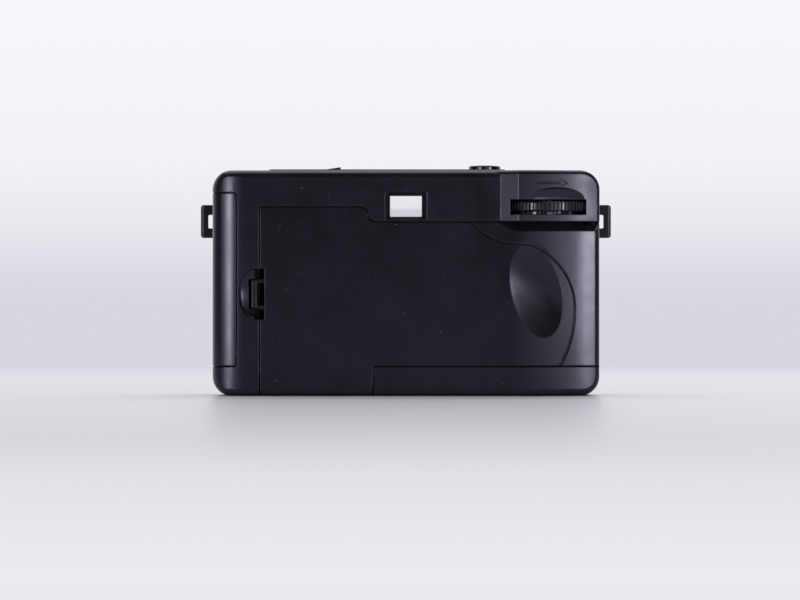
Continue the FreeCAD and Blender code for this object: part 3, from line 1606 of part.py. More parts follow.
def lever_mount():
    """Two ears and a pin on the deck for the release lever, and the counter's post."""
    high = deck_top
    ears = []
    for y in (button_y - 2.3, button_y + 1.5):
        ears.append(box(lever_pivot_x - 1.5, lever_pivot_x + 1.5, y, y + 0.8, high - 0.1, lever_z + 1.5))
    pin = rod_y(lever_pivot_x, lever_z, button_y - 2.3, button_y + 2.3, 0.68)
    stand = post(dial_x, dial_y, high - 0.1, dial_z - 0.7, 1.6)
    spindle = post(dial_x, dial_y, high, dial_z + dial_thickness, 0.8)
    return ears + [pin, stand, spindle]


# Rewind
collar_radius = 2.9
dish_column_radius = 3.9
fork_shaft = 1.4
crank_hinge_offset = -5.0
crank_hinge_z = dish_floor_z + 2.8
crank_width = 5.0
knob_radius = 8.6
knob_low = dish_floor_z + 0.4
knob_high = knob_low + 1.4
collar_high = dish_floor_z - 1.0
collar_low = collar_high - 3.0
fork_width = 5.2
fork_thickness = 1.2
handle_offset = 6.0
handle_radius = 2.0
crank_pin_radius = 0.5


def rewind_dish():
    """Cup for the crank under the top panel, on a column that stands on the chamber's roof."""
    chamber_top = cassette_high + 1.5
    outside = crank_dish_radius + dish_rim
    points = [
        (collar_radius + slip, chamber_top + 0.05), (dish_column_radius, chamber_top + 0.05),
        (dish_column_radius, dish_floor_z - 0.8), (outside, dish_floor_z - 0.8),
        (outside, panel_floor - 0.05), (crank_dish_radius, panel_floor - 0.05),
        (crank_dish_radius, dish_floor_z), (collar_radius + slip, dish_floor_z),
    ]
    return revolved(points, Vec(cassette_x, cassette_y, 0))


def rewind_collar():
    sleeve = post(cassette_x, cassette_y, collar_low, collar_high, collar_radius)
    return cut(sleeve, post(cassette_x, cassette_y, under_roof, above, fork_shaft + 0.08))


def rewind_fork():
    """Shaft with a two-pronged blade that turns the cassette's spool."""
    wide = fork_width / 2
    thick = fork_thickness / 2
    crotch = cassette_high - 1.2
    shaft = post(cassette_x, cassette_y, crotch - 0.2, knob_low + 0.5, fork_shaft)
    blade = box(cassette_x - wide, cassette_x + wide, cassette_y - thick, cassette_y + thick,
                crotch - 2.4, cassette_high)
    blade = blade.cut(box(cassette_x - 1.2, cassette_x + 1.2, -10, 10, crotch - 3, crotch))
    shoulder = post(cassette_x, cassette_y, cassette_high - 1.0, cassette_high + 0.2, 2.2)
    ring = post(cassette_x, cassette_y, collar_low - slip - 0.6, collar_low - slip, 2.2)
    return fuse(shaft, blade, shoulder, ring)


def rewind_knob():
    """Disc in the dish with two ears for the crank and a bay for the folded handle."""
    disc = post(cassette_x, cassette_y, knob_low, knob_high, knob_radius)
    x = cassette_x + crank_hinge_offset
    ears = []
    half = crank_width / 2 + 0.15
    for y0 in (cassette_y - half - 1.0, cassette_y + half):
        ears.append(box(x - 1.1, x + 1.1, y0, y0 + 1.0, knob_high - 0.1, crank_hinge_z))
        ears.append(rod_y(x, crank_hinge_z, y0, y0 + 1.0, 1.1))
    knob = fuse(disc, *ears)
    bay = post(cassette_x + handle_offset, cassette_y, knob_low - 1, knob_high + 1, handle_radius + 0.4)
    pin_hole = rod_y(x, crank_hinge_z, cassette_y - 6, cassette_y + 6, crank_pin_radius + 0.02)
    bore = post(cassette_x, cassette_y, knob_low - 1, knob_low + 0.55, fork_shaft + 0.02)
    return cut(knob, bay, pin_hole, bore)


def crank_pin():
    x = cassette_x + crank_hinge_offset
    reach = crank_width / 2 + 1.1
    return rod_y(x, crank_hinge_z, cassette_y - reach, cassette_y + reach, crank_pin_radius)


def crank_arm():
    """Flat arm with a round eye at the hinge and a lifted finger tip at the other end."""
    x = cassette_x
    eye = 0.9
    low = crank_hinge_z - 0.85
    tip_top = top_z + crank_tip_proud
    tip_low = top_z + 0.2
    rim_x = x + crank_dish_radius - 0.4
    hinge = x + crank_hinge_offset
    path = Outline(hinge, crank_hinge_z - eye, 0)
    path.to(hinge + 0.5, low).to(rim_x - 1.4, low).to(rim_x - 0.2, tip_low)
    path.to(x + crank_reach, tip_low).to(x + crank_reach, tip_top)
    path.to(x + 5.2, top_z).to(x + 2.0, top_z - 0.6).to(hinge, crank_hinge_z + eye)
    path.to(hinge, crank_hinge_z - eye)
    half = crank_width / 2
    arm = path.facing(cassette_y - half, cassette_y + half)
    arm = arm.common(post(x, cassette_y, under_roof, above, crank_reach))
    ring = rod_y(hinge, crank_hinge_z, cassette_y - half, cassette_y + half, eye)
    hole = rod_y(hinge, crank_hinge_z, cassette_y - 10, cassette_y + 10, crank_pin_radius + 0.05)
    rivet = post(x + handle_offset, cassette_y, low - 1, crank_hinge_z + 0.3, 0.75)
    return cut(fuse(arm, ring), hole, rivet)


def crank_handle():
    x = cassette_x + handle_offset
    low = dish_floor_z + 0.3
    grip = post(x, cassette_y, low, crank_hinge_z - 0.95, handle_radius)
    return fuse(grip, post(x, cassette_y, low, crank_hinge_z + 0.25, 0.7))


# Rewind release on the bottom


def rewind_release_button():
    cap = post(sprocket_x, sprocket_y, release_sunk, shell_wall + 0.1, release_radius)
    flange = post(sprocket_x, sprocket_y, shell_wall + 0.1, shell_wall + 0.8, release_radius + 0.8)
    nose = post(sprocket_x, sprocket_y, shell_wall + 0.8, shell_wall + 1.6, 1.0)
    return fuse(cap, flange, nose)


def rewind_release_spring():
    wire = 0.22
    low = shell_wall + 0.8 + wire + 0.03
    high = floor_z - wire - 0.03
    return coil_spring(sprocket_x, sprocket_y, low, (high - low) / 5, 5, 2.1, wire)


def body_screws():
    """Four screws under the bottom, each with a flat head and a cross recess."""
    screws = []
    for x, y in screw_spots:
        head = post(x, y, screw_sunk, screw_sunk + screw_head_height, screw_head_radius)
        shank = post(x, y, screw_sunk + 0.5, screw_sunk + screw_length, screw_radius)
        slot = box(x - 1.2, x + 1.2, y - 0.25, y + 0.25, -1, screw_sunk + 0.55)
        cross = box(x - 0.25, x + 0.25, y - 1.2, y + 1.2, -1, screw_sunk + 0.55)
        screws.append(cut(fuse(head, shank), slot, cross))
    return Part.makeCompound(screws)


pieces = {
    "front_shell": front_shell(),
    "rear_shell": rear_shell(),
    "top_panel": top_panel(),
    "front_panel": front_panel(),
    "strap_lug_left": lug(-1, 0),
    "strap_lug_right": lug(1, 0),
    "body_screws": body_screws(),
    "film_chassis": film_chassis(),
    "light_box": light_box(),
    "back_door": back_door(),
    "hinge_pin": hinge_pin(),
    "latch_slider": latch_slider(),
    "pressure_plate": pressure_plate(),
    "pressure_spring": pressure_spring(),
    "battery_cover": battery_cover(),
    "battery_holder": battery_holder(),
    "battery_contact_plate": battery_contact_plate(),
    "battery_contact_spring": battery_contact_spring(),
    "viewfinder_eyepiece": viewfinder_eyepiece(),
    "viewfinder_tunnel": viewfinder_tunnel(),
    "viewfinder_front_lens": viewfinder_front_lens(),
    "lens_barrel": lens_barrel(),
    "lens_front": lens_element(front_glass_y, front_glass_y + front_glass_thickness, -0.5, 0.8),
    "lens_rear": lens_element(rear_glass_y, rear_glass_y + rear_glass_thickness, 0.4, 0.6),
    "aperture_plate": aperture_plate(),
    "shutter_plate": shutter_plate(),
    "shutter_blade": shutter_blade(),
    "flash_reflector": flash_reflector(),
    "flash_tube": flash_tube(),
    "flash_diffuser": flash_diffuser(),
    "flash_board": flash_board(),
    "flash_capacitor": flash_capacitor(),
    "flash_transformer": flash_transformer(),
    "flash_switch": flash_switch(),
    "ready_lamp": ready_lamp(),
    "advance_wheel": advance_wheel(),
    "take_up_spool": take_up_spool(),
    "pawl_spring": pawl_spring(),
    "sprocket_wheel": sprocket_wheel(),
    "counter_dial": counter_dial(),
    "counter_window": counter_window(),
    "shutter_button": shutter_button(),
    "button_spring": button_spring(),
    "release_lever": release_lever(),
    "rewind_dish": rewind_dish(),
    "rewind_collar": rewind_collar(),
    "rewind_fork": rewind_fork(),
    "rewind_knob": rewind_knob(),
    "crank_pin": crank_pin(),
    "crank_arm": crank_arm(),
    "crank_handle": crank_handle(),
    "rewind_release_button": rewind_release_button(),
    "rewind_release_spring": rewind_release_spring(),
}
for name, shape in pieces.items():
    keep(name, shape)
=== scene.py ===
# A compact 35 mm film camera, seen from behind on a pale studio table.
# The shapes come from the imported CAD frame. This script gives them their finishes, the light
# and the view.
import math
import bmesh
import bpy
from mathutils import Matrix, Vector


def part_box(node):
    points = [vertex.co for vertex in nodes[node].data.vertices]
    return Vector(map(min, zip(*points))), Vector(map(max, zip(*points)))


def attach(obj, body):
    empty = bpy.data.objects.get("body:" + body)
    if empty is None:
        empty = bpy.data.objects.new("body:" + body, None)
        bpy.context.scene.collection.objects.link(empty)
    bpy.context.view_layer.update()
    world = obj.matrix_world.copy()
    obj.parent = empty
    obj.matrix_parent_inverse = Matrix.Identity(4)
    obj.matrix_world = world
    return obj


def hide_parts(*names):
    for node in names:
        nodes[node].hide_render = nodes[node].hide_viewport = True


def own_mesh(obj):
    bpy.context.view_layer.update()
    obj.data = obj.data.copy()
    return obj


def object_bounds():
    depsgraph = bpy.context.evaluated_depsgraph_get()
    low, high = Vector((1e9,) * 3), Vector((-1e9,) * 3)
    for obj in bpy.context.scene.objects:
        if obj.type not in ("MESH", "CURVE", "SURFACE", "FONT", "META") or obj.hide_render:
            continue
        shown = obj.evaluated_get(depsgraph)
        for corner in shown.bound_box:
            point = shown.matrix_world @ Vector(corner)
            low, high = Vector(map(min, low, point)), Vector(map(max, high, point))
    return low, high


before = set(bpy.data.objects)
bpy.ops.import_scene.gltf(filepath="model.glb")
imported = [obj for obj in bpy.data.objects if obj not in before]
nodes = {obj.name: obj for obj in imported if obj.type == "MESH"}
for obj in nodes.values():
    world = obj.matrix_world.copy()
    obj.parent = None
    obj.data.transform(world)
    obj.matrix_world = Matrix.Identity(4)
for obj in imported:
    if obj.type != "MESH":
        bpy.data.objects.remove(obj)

cadLow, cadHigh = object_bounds()
mm = 0.001
noiseSpread = (0.3, 0.7)  # nearly all the values of a noise texture lie between these


def linear(hexColour):
    # sRGB hex to the linear values that Blender's sockets take
    values = []
    for start in (0, 2, 4):
        channel = int(hexColour[start:start + 2], 16) / 255
        if channel <= 0.04045:
            values.append(channel / 12.92)
        else:
            values.append(((channel + 0.055) / 1.055) ** 2.4)
    return (*values, 1.0)


def addNode(tree, kind, inputs=None, stops=None, **settings):
    # adds a node; an input is either a value or another node's output to link
    node = tree.nodes.new(kind)
    for name, value in settings.items():
        setattr(node, name, value)
    for name, value in (inputs or {}).items():
        if isinstance(value, bpy.types.NodeSocket):
            tree.links.new(value, node.inputs[name])
        else:
            node.inputs[name].default_value = value
    for i, (place, colour) in enumerate(stops or []):
        elements = node.color_ramp.elements
        element = elements[i] if i < 2 else elements.new(place)
        element.position = place
        element.color = colour
    return node


def newMaterial(name):
    material = bpy.data.materials.new(name)
    material.use_nodes = True
    tree = material.node_tree
    tree.nodes.clear()
    shader = addNode(tree, "ShaderNodeBsdfPrincipled")
    addNode(tree, "ShaderNodeOutputMaterial", {"Surface": shader.outputs[0]})
    where = addNode(tree, "ShaderNodeTexCoord").outputs["Object"]
    return material, tree, shader, where


def perMetre(sizeMm):
    # texture scale for a pattern that repeats every sizeMm
    return 1 / (sizeMm * mm)


def link(tree, shader, **outputs):
    # an underscore in a name stands for the space in the socket's name
    for name, output in outputs.items():
        tree.links.new(output, shader.inputs[name.replace("_", " ")])


def give(material, *names):
    for name in names:
        slots = nodes[name].data.materials
        slots.clear()
        slots.append(material)


# Camera: level, far away, a little left of the middle, as in the photograph
cameraSetup = {
    "distance": 1.5,
    "frameWidth": 0.2324,  # what the picture's width covers at the camera's back, in metres
    "aimX": -0.00173,
    "aimZ": 0.0279,
    "sensor": 36.0,
    "clipEnd": 100,
}


def makeCamera():
    data = bpy.data.cameras.new("camera")
    data.sensor_width = cameraSetup["sensor"]
    data.lens = cameraSetup["sensor"] * cameraSetup["distance"] / cameraSetup["frameWidth"]
    data.clip_end = cameraSetup["clipEnd"]
    camera = bpy.data.objects.new("camera", data)
    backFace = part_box("rear_shell")[0].y
    camera.location = (cameraSetup["aimX"], backFace - cameraSetup["distance"],
                       cameraSetup["aimZ"])
    camera.rotation_euler = (math.pi / 2, 0, 0)
    bpy.context.scene.collection.objects.link(camera)
    bpy.context.scene.camera = camera


makeCamera()
print("stage: camera set")

# Moulded plastics: one recipe, since they differ in colour, gloss and the mould's grain
plasticLooks = {
    # black ABS from a finely spark-eroded mould, on the shells: near black, with wide, soft
    # highlights that lean a little to violet
    "sparkErodedAbs": {
        "colours": ("131118", "1b1921"), "mottleMm": 14.0,
        "roughness": (0.20, 0.27), "roughnessMm": 6.0, "grainMm": 0.45, "grainDepthMm": 0.0016,
        "edgeMm": 0.42, "ior": 1.54, "tint": "e8e4ff", "dust": 0.5,
    },
    # the same ABS from a smoother mould, on the door and covers: the highlight is crisper
    "stonedMouldAbs": {
        "colours": ("131118", "1b1921"), "mottleMm": 14.0,
        "roughness": (0.16, 0.22), "roughnessMm": 6.0, "grainMm": 0.45, "grainDepthMm": 0.0012,
        "edgeMm": 0.5, "ior": 1.54, "tint": "e8e4ff", "dust": 0.5,
    },
    # matte black polystyrene in the light path: dull and even, so nothing glints on the film
    "matteBlackPolystyrene": {
        "colours": ("0e0e0f", "151516"), "mottleMm": 9.0,
        "roughness": (0.62, 0.74), "roughnessMm": 3.0, "grainMm": 0.35, "grainDepthMm": 0.006,
        "edgeMm": 0.12, "ior": 1.59, "tint": "ffffff", "dust": 0.0,
    },
    # black acetal on the thumb wheel: slick and waxy, so each tooth catches a line of light
    "mouldedAcetal": {
        "colours": ("26242b", "343239"), "mottleMm": 5.0,
        "roughness": (0.10, 0.18), "roughnessMm": 2.0, "grainMm": 0.4, "grainDepthMm": 0.001,
        "edgeMm": 0.14, "ior": 1.48, "tint": "f2eeff", "dust": 0.0,
    },
    # polished black ABS on the shutter button: deep and wet-looking
    "polishedAbs": {
        "colours": ("0b0b0d", "101013"), "mottleMm": 6.0,
        "roughness": (0.06, 0.11), "roughnessMm": 1.5, "grainMm": 1.2, "grainDepthMm": 0.0004,
        "edgeMm": 0.15, "ior": 1.54, "tint": "ffffff", "dust": 0.0,
    },
    # dark grey nylon on the small moving parts: dull, with fine flow marks
    "mouldedNylon": {
        "colours": ("3c3c40", "4a4a4f"), "mottleMm": 4.0,
        "roughness": (0.40, 0.52), "roughnessMm": 1.5, "grainMm": 0.35, "grainDepthMm": 0.002,
        "edgeMm": 0.12, "ior": 1.53, "tint": "ffffff", "dust": 0.0,
    },
    # white polystyrene on the frame counter's dial: chalky white, so the print stands out
    "whitePolystyrene": {
        "colours": ("e4e2da", "efede6"), "mottleMm": 3.0,
        "roughness": (0.42, 0.52), "roughnessMm": 1.5, "grainMm": 0.4, "grainDepthMm": 0.001,
        "edgeMm": 0.1, "ior": 1.59, "tint": "ffffff", "dust": 0.0,
    },
    # phenolic paper board: toffee brown with paper flecks
    "phenolicBoard": {
        "colours": ("6b4a25", "8a6436"), "mottleMm": 1.4,
        "roughness": (0.45, 0.58), "roughnessMm": 1.0, "grainMm": 0.5, "grainDepthMm": 0.003,
        "edgeMm": 0.1, "ior": 1.6, "tint": "ffffff", "dust": 0.0,
    },
}
# the real grain is finer than the picture's pixels; it is drawn at about 0.4 mm, so it shows
mottleSpread = (0.35, 0.65)
# dust shows only where the noise goes above the threshold
dustLook = {"colour": "8a878f", "speckMm": 1.1, "threshold": (0.745, 0.80)}
# painted seam shade: right at a sharp edge the colour is painted near black and the specular level
# drops, as shade; how far the rounded normal leans there, and the specular level away from the
# edge and at it
paintedSeamShadeLook = {"colour": "020203", "lean": (0.86, 0.74), "shine": (0.5, 0.0)}


def plastic(name):
    look = plasticLooks[name]
    material, tree, shader, where = newMaterial(name)
    dark, light = (linear(shade) for shade in look["colours"])
    mottle = addNode(tree, "ShaderNodeTexNoise",
                     {"Vector": where, "Scale": perMetre(look["mottleMm"]), "Detail": 4.0,
                      "Roughness": 0.6})
    colour = addNode(tree, "ShaderNodeValToRGB", {"Fac": mottle.outputs["Fac"]},
                     stops=[(mottleSpread[0], dark), (mottleSpread[1], light)]).outputs["Color"]
    if look["dust"]:
        colour = dusty(tree, where, colour, look["dust"])
    sheen = addNode(tree, "ShaderNodeTexNoise",
                    {"Vector": where, "Scale": perMetre(look["roughnessMm"]), "Detail": 3.0})
    smooth, rough = look["roughness"]
    roughness = addNode(tree, "ShaderNodeMapRange",
                        {"Value": sheen.outputs["Fac"], "From Min": noiseSpread[0],
                         "From Max": noiseSpread[1], "To Min": smooth, "To Max": rough})
    grain = addNode(tree, "ShaderNodeTexNoise",
                    {"Vector": where, "Scale": perMetre(look["grainMm"]), "Detail": 2.0})
    softEdge = addNode(tree, "ShaderNodeBevel", {"Radius": look["edgeMm"] * mm}, samples=6)
    bump = addNode(tree, "ShaderNodeBump",
                   {"Height": grain.outputs["Fac"], "Distance": look["grainDepthMm"] * mm,
                    "Normal": softEdge.outputs["Normal"]})
    # the dusty outer pieces also get painted seam shade: near sharp edges the colour is painted
    # near black and the specular level lowered
    if look["dust"]:
        colour, shine = blackLip(tree, softEdge.outputs["Normal"], colour)
        link(tree, shader, Specular_IOR_Level=shine)
    shader.inputs["IOR"].default_value = look["ior"]
    shader.inputs["Specular Tint"].default_value = linear(look["tint"])
    link(tree, shader, Base_Color=colour, Roughness=roughness.outputs["Result"],
         Normal=bump.outputs["Normal"])
    return material


def dusty(tree, where, colour, most):
    # the outer pieces carry a few pale specks
    specks = addNode(tree, "ShaderNodeTexNoise",
                     {"Vector": where, "Scale": perMetre(dustLook["speckMm"]), "Detail": 2.0})
    low, high = dustLook["threshold"]
    amount = addNode(tree, "ShaderNodeMapRange",
                     {"Value": specks.outputs["Fac"], "From Min": low, "From Max": high,
                      "To Min": 0.0, "To Max": most})
    return addNode(tree, "ShaderNodeMix",
                   {0: amount.outputs["Result"], 6: colour, 7: linear(dustLook["colour"])},
                   data_type="RGBA").outputs[2]


def blackLip(tree, softNormal, colour):
    # painted seam shade: the rounded normal leans away from the flat one only near a sharp edge,
    # and there the colour is painted near black and the specular level lowered
    flatNormal = addNode(tree, "ShaderNodeNewGeometry").outputs["True Normal"]
    lean = addNode(tree, "ShaderNodeVectorMath", {0: softNormal, 1: flatNormal},
                   operation="DOT_PRODUCT").outputs["Value"]
    start, end = paintedSeamShadeLook["lean"]
    seamShadeMask = addNode(tree, "ShaderNodeMapRange",
                  {"Value": lean, "From Min": start, "From Max": end}).outputs[0]
    colour = addNode(tree, "ShaderNodeMix", {0: seamShadeMask, 6: colour, 7: linear(paintedSeamShadeLook["colour"])},
                     data_type="RGBA").outputs[2]
    away, atSeamShade = paintedSeamShadeLook["shine"]
    shine = addNode(tree, "ShaderNodeMapRange",
                    {"Value": seamShadeMask, "To Min": away, "To Max": atSeamShade}).outputs[0]
    return colour, shine


give(plastic("sparkErodedAbs"), "front_shell", "rear_shell", "top_panel", "strap_lug_left",
     "strap_lug_right", "lens_barrel", "rewind_dish")
give(plastic("stonedMouldAbs"), "back_door", "battery_cover", "latch_slider", "flash_switch",
     "crank_arm", "crank_handle", "rewind_knob", "rewind_release_button")
give(plastic("mouldedAcetal"), "advance_wheel")
give(plastic("polishedAbs"), "shutter_button")
give(plastic("matteBlackPolystyrene"), "film_chassis", "battery_holder", "viewfinder_tunnel",
     "aperture_plate", "light_box", "shutter_plate", "pressure_plate", "shutter_blade")
give(plastic("mouldedNylon"), "take_up_spool", "sprocket_wheel", "release_lever", "rewind_fork",
     "rewind_collar")
give(plastic("whitePolystyrene"), "counter_dial")
give(plastic("phenolicBoard"), "flash_board")
print("stage: moulded plastics")

# Frame counter: plain numbers and dots round the dial, read through the window from behind
counterLook = {
    "ink": "101012", "thinInk": "2a2a2d", "inkPatchMm": 0.6, "inkStops": (0.3, 0.75),
    "inkRoughness": (0.45, 0.65), "inkMm": 0.02,
    "frames": 40, "numberEvery": 4, "lastNumber": 36, "radiusMm": 4.2,
    "tallMm": 1.7, "sizeToTall": 1.4,  # a font's size against the height of its figures
    "dotMm": 0.2, "dotSides": 16,
}


def padPrintedInk():
    # thin black ink, pad printed: dull, a little uneven where the pad lifted
    material, tree, shader, where = newMaterial("padPrintedInk")
    cover = addNode(tree, "ShaderNodeTexNoise",
                    {"Vector": where, "Scale": perMetre(counterLook["inkPatchMm"]),
                     "Detail": 3.0})
    thick, thin = counterLook["inkStops"]
    colour = addNode(tree, "ShaderNodeValToRGB", {"Fac": cover.outputs["Fac"]},
                     stops=[(thick, linear(counterLook["ink"])),
                            (thin, linear(counterLook["thinInk"]))])
    smooth, rough = counterLook["inkRoughness"]
    roughness = addNode(tree, "ShaderNodeMapRange",
                        {"Value": cover.outputs["Fac"], "To Min": smooth, "To Max": rough})
    link(tree, shader, Base_Color=colour.outputs["Color"], Roughness=roughness.outputs["Result"])
    return material


def addNumeral(whole, number, place):
    curve = bpy.data.curves.new("numeral", "FONT")
    curve.body = str(number)
    curve.size = counterLook["tallMm"] * mm * counterLook["sizeToTall"]
    curve.align_x = "CENTER"
    curve.align_y = "CENTER"
    curve.extrude = counterLook["inkMm"] * mm / 2
    holder = bpy.data.objects.new("numeral", curve)
    flat = bpy.data.meshes.new_from_object(holder)
    bpy.data.objects.remove(holder)
    bpy.data.curves.remove(curve)
    flat.transform(place)
    whole.from_mesh(flat)
    bpy.data.meshes.remove(flat)


def makeNumerals():
    low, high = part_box("counter_dial")
    centre = Matrix.Translation(((low.x + high.x) / 2, (low.y + high.y) / 2, high.z))
    outward = Matrix.Translation((0, -counterLook["radiusMm"] * mm, counterLook["inkMm"] * mm / 2))
    every = counterLook["numberEvery"]
    whole = bmesh.new()
    for count in range(counterLook["frames"]):
        turn = Matrix.Rotation(2 * math.pi * count / counterLook["frames"], 4, "Z")
        place = centre @ turn @ outward
        if count % every == 0:
            addNumeral(whole, count, place)
        elif count % every == every // 2 and count < counterLook["lastNumber"]:
            bmesh.ops.create_circle(whole, cap_ends=True, segments=counterLook["dotSides"],
                                    radius=counterLook["dotMm"] * mm, matrix=place)
    mesh = bpy.data.meshes.new("counterNumerals")
    whole.to_mesh(mesh)
    whole.free()
    numerals = bpy.data.objects.new("counterNumerals", mesh)
    bpy.context.scene.collection.objects.link(numerals)
    mesh.materials.append(padPrintedInk())
    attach(numerals, "counter")


makeNumerals()
print("stage: frame counter")

# Front panel: pebbled ABS, moulded like leather, so the fingers hold it
panelLook = {
    # painted shade: the valleys between the pebbles are painted darker than their tops
    "colours": ("121116", "1d1b22"),  # in the valleys and on the pebbles' tops
    "colourStops": (0.1, 0.75),
    "pebbleMm": 1.1, "pebbleDepthMm": 0.09, "pebbleStrength": 0.8, "smoothness": 0.6,
    "poreMm": 0.3, "poreDepthMm": 0.01,
    "roughness": 0.48, "ior": 1.54,
}


def pebbledPanel():
    material, tree, shader, where = newMaterial("pebbledAbs")
    cells = addNode(tree, "ShaderNodeTexVoronoi",
                    {"Vector": where, "Scale": perMetre(panelLook["pebbleMm"]),
                     "Smoothness": panelLook["smoothness"]}, feature="SMOOTH_F1")
    pores = addNode(tree, "ShaderNodeTexNoise",
                    {"Vector": where, "Scale": perMetre(panelLook["poreMm"]), "Detail": 2.0})
    height = addNode(tree, "ShaderNodeMath", {0: cells.outputs["Distance"], 1: -1.0},
                     operation="MULTIPLY")
    pebbles = addNode(tree, "ShaderNodeBump",
                      {"Height": height.outputs[0], "Distance": panelLook["pebbleDepthMm"] * mm,
                       "Strength": panelLook["pebbleStrength"]})
    fine = addNode(tree, "ShaderNodeBump",
                   {"Height": pores.outputs["Fac"], "Distance": panelLook["poreDepthMm"] * mm,
                    "Normal": pebbles.outputs["Normal"]})
    valley, top = (linear(shade) for shade in panelLook["colours"])
    near, far = panelLook["colourStops"]
    # painted shade: the ramp follows the pebbles' height, so the valleys come out darker than the
    # tops
    colour = addNode(tree, "ShaderNodeValToRGB", {"Fac": cells.outputs["Distance"]},
                     stops=[(near, top), (far, valley)])
    shader.inputs["Roughness"].default_value = panelLook["roughness"]
    shader.inputs["IOR"].default_value = panelLook["ior"]
    link(tree, shader, Base_Color=colour.outputs["Color"], Normal=fine.outputs["Normal"])
    return material


give(pebbledPanel(), "front_panel")

# Metals: drawn, rolled or plated, with hairlines along the way they were worked
metalLooks = {
    # zinc-plated steel screws and pins: cool grey, slightly dull
    "zincPlatedSteel": {
        "colours": ("a9abae", "c6c8ca"), "roughness": (0.26, 0.40),
        "hairlineMm": 0.25, "stretch": (1, 1, 0.15), "depthMm": 0.001,
    },
    # blackened steel hinge pin: blued and oiled, so it stays dark in the seam
    "blackenedSteel": {
        "colours": ("1b1b1e", "26262a"), "roughness": (0.30, 0.42),
        "hairlineMm": 0.25, "stretch": (1, 1, 0.15), "depthMm": 0.001,
    },
    # spring steel: darker, drawn through a die, so its lines run along it
    "drawnSpringSteel": {
        "colours": ("8f9194", "b4b6b9"), "roughness": (0.22, 0.34),
        "hairlineMm": 0.2, "stretch": (0.2, 1, 1), "depthMm": 0.001,
    },
    # nickel-plated battery contacts: warm and bright
    "nickelPlatedSteel": {
        "colours": ("bdb8ae", "d8d3c8"), "roughness": (0.16, 0.28),
        "hairlineMm": 0.3, "stretch": (1, 0.2, 1), "depthMm": 0.0008,
    },
    # vacuum-metallised reflector: a mirror with faint ripples
    "metallisedAluminium": {
        "colours": ("dcdde0", "eeeff1"), "roughness": (0.04, 0.10),
        "hairlineMm": 1.5, "stretch": (0.3, 1, 1), "depthMm": 0.002,
    },
}
tarnishMm = 4.0


def metal(name):
    look = metalLooks[name]
    material, tree, shader, where = newMaterial(name)
    stretched = addNode(tree, "ShaderNodeMapping", {"Vector": where, "Scale": look["stretch"]})
    lines = addNode(tree, "ShaderNodeTexNoise",
                    {"Vector": stretched.outputs["Vector"],
                     "Scale": perMetre(look["hairlineMm"]), "Detail": 4.0})
    tarnish = addNode(tree, "ShaderNodeTexNoise",
                      {"Vector": where, "Scale": perMetre(tarnishMm), "Detail": 3.0})
    dark, light = (linear(shade) for shade in look["colours"])
    colour = addNode(tree, "ShaderNodeValToRGB", {"Fac": tarnish.outputs["Fac"]},
                     stops=[(noiseSpread[0], dark), (noiseSpread[1], light)])
    smooth, rough = look["roughness"]
    roughness = addNode(tree, "ShaderNodeMapRange",
                        {"Value": lines.outputs["Fac"], "From Min": noiseSpread[0],
                         "From Max": noiseSpread[1], "To Min": smooth, "To Max": rough})
    bump = addNode(tree, "ShaderNodeBump",
                   {"Height": lines.outputs["Fac"], "Distance": look["depthMm"] * mm})
    shader.inputs["Metallic"].default_value = 1.0
    link(tree, shader, Base_Color=colour.outputs["Color"], Roughness=roughness.outputs["Result"],
         Normal=bump.outputs["Normal"])
    return material


give(metal("zincPlatedSteel"), "body_screws", "crank_pin")
give(metal("blackenedSteel"), "hinge_pin")
give(metal("drawnSpringSteel"), "pressure_spring", "pawl_spring", "button_spring",
     "rewind_release_spring")
give(metal("nickelPlatedSteel"), "battery_contact_plate", "battery_contact_spring")
give(metal("metallisedAluminium"), "flash_reflector")

# Press springs: each is a copy of its spring piece, fixed to the camera body, with the piece
# itself hidden; listed with its joint, fixed end (0 low, 1 high) and travel
pressSprings = {
    "buttonSpringCoils": {
        "node": "button_spring", "joint": "button_press", "fixedEnd": 0, "travelMm": 1.2,
    },
    "releaseSpringCoils": {
        "node": "rewind_release_spring", "joint": "rewind_release_press", "fixedEnd": 1,
        "travelMm": 1.5,
    },
}


def makePressSpring(name, setup):
    node = nodes[setup["node"]]
    coils = bpy.data.objects.new(name, node.data.copy())
    coils.matrix_world = node.matrix_world
    bpy.context.scene.collection.objects.link(coils)
    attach(coils, "camera_body")
    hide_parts(setup["node"])
    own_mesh(coils)


for name, setup in pressSprings.items():
    makePressSpring(name, setup)
print("stage: metals")

# Clear pieces: how much they bend, tint and blur the light
clearLooks = {
    # acrylic finder windows: water clear, faint moulding flow
    "clearAcrylic": {
        "colour": "fbfcfc", "ior": 1.49, "roughness": (0.0, 0.015),
        "rippleMm": 5.0, "rippleDepthMm": 0.0006, "filmNm": 0.0,
    },
    # coated optical glass: a thin blue-violet bloom in its reflections
    "coatedGlass": {
        "colour": "f6faf8", "ior": 1.52, "roughness": (0.0, 0.01),
        "rippleMm": 8.0, "rippleDepthMm": 0.0002, "filmNm": 135.0,
    },
    # flash tube: plain drawn borosilicate, clear with slight waves
    "borosilicateGlass": {
        "colour": "f4f6f4", "ior": 1.47, "roughness": (0.0, 0.02),
        "rippleMm": 2.0, "rippleDepthMm": 0.001, "filmNm": 0.0,
    },
    # prismatic polycarbonate diffuser: milky where the prisms scatter the light
    "prismPolycarbonate": {
        "colour": "f2f3f0", "ior": 1.58, "roughness": (0.10, 0.22),
        "rippleMm": 0.8, "rippleDepthMm": 0.004, "filmNm": 0.0,
    },
    # red-orange tinted acrylic on the ready lamp: glows a little where light passes through
    "tintedAcrylic": {
        "colour": "ff7a3a", "ior": 1.49, "roughness": (0.05, 0.12),
        "rippleMm": 1.5, "rippleDepthMm": 0.001, "filmNm": 0.0,
    },
}


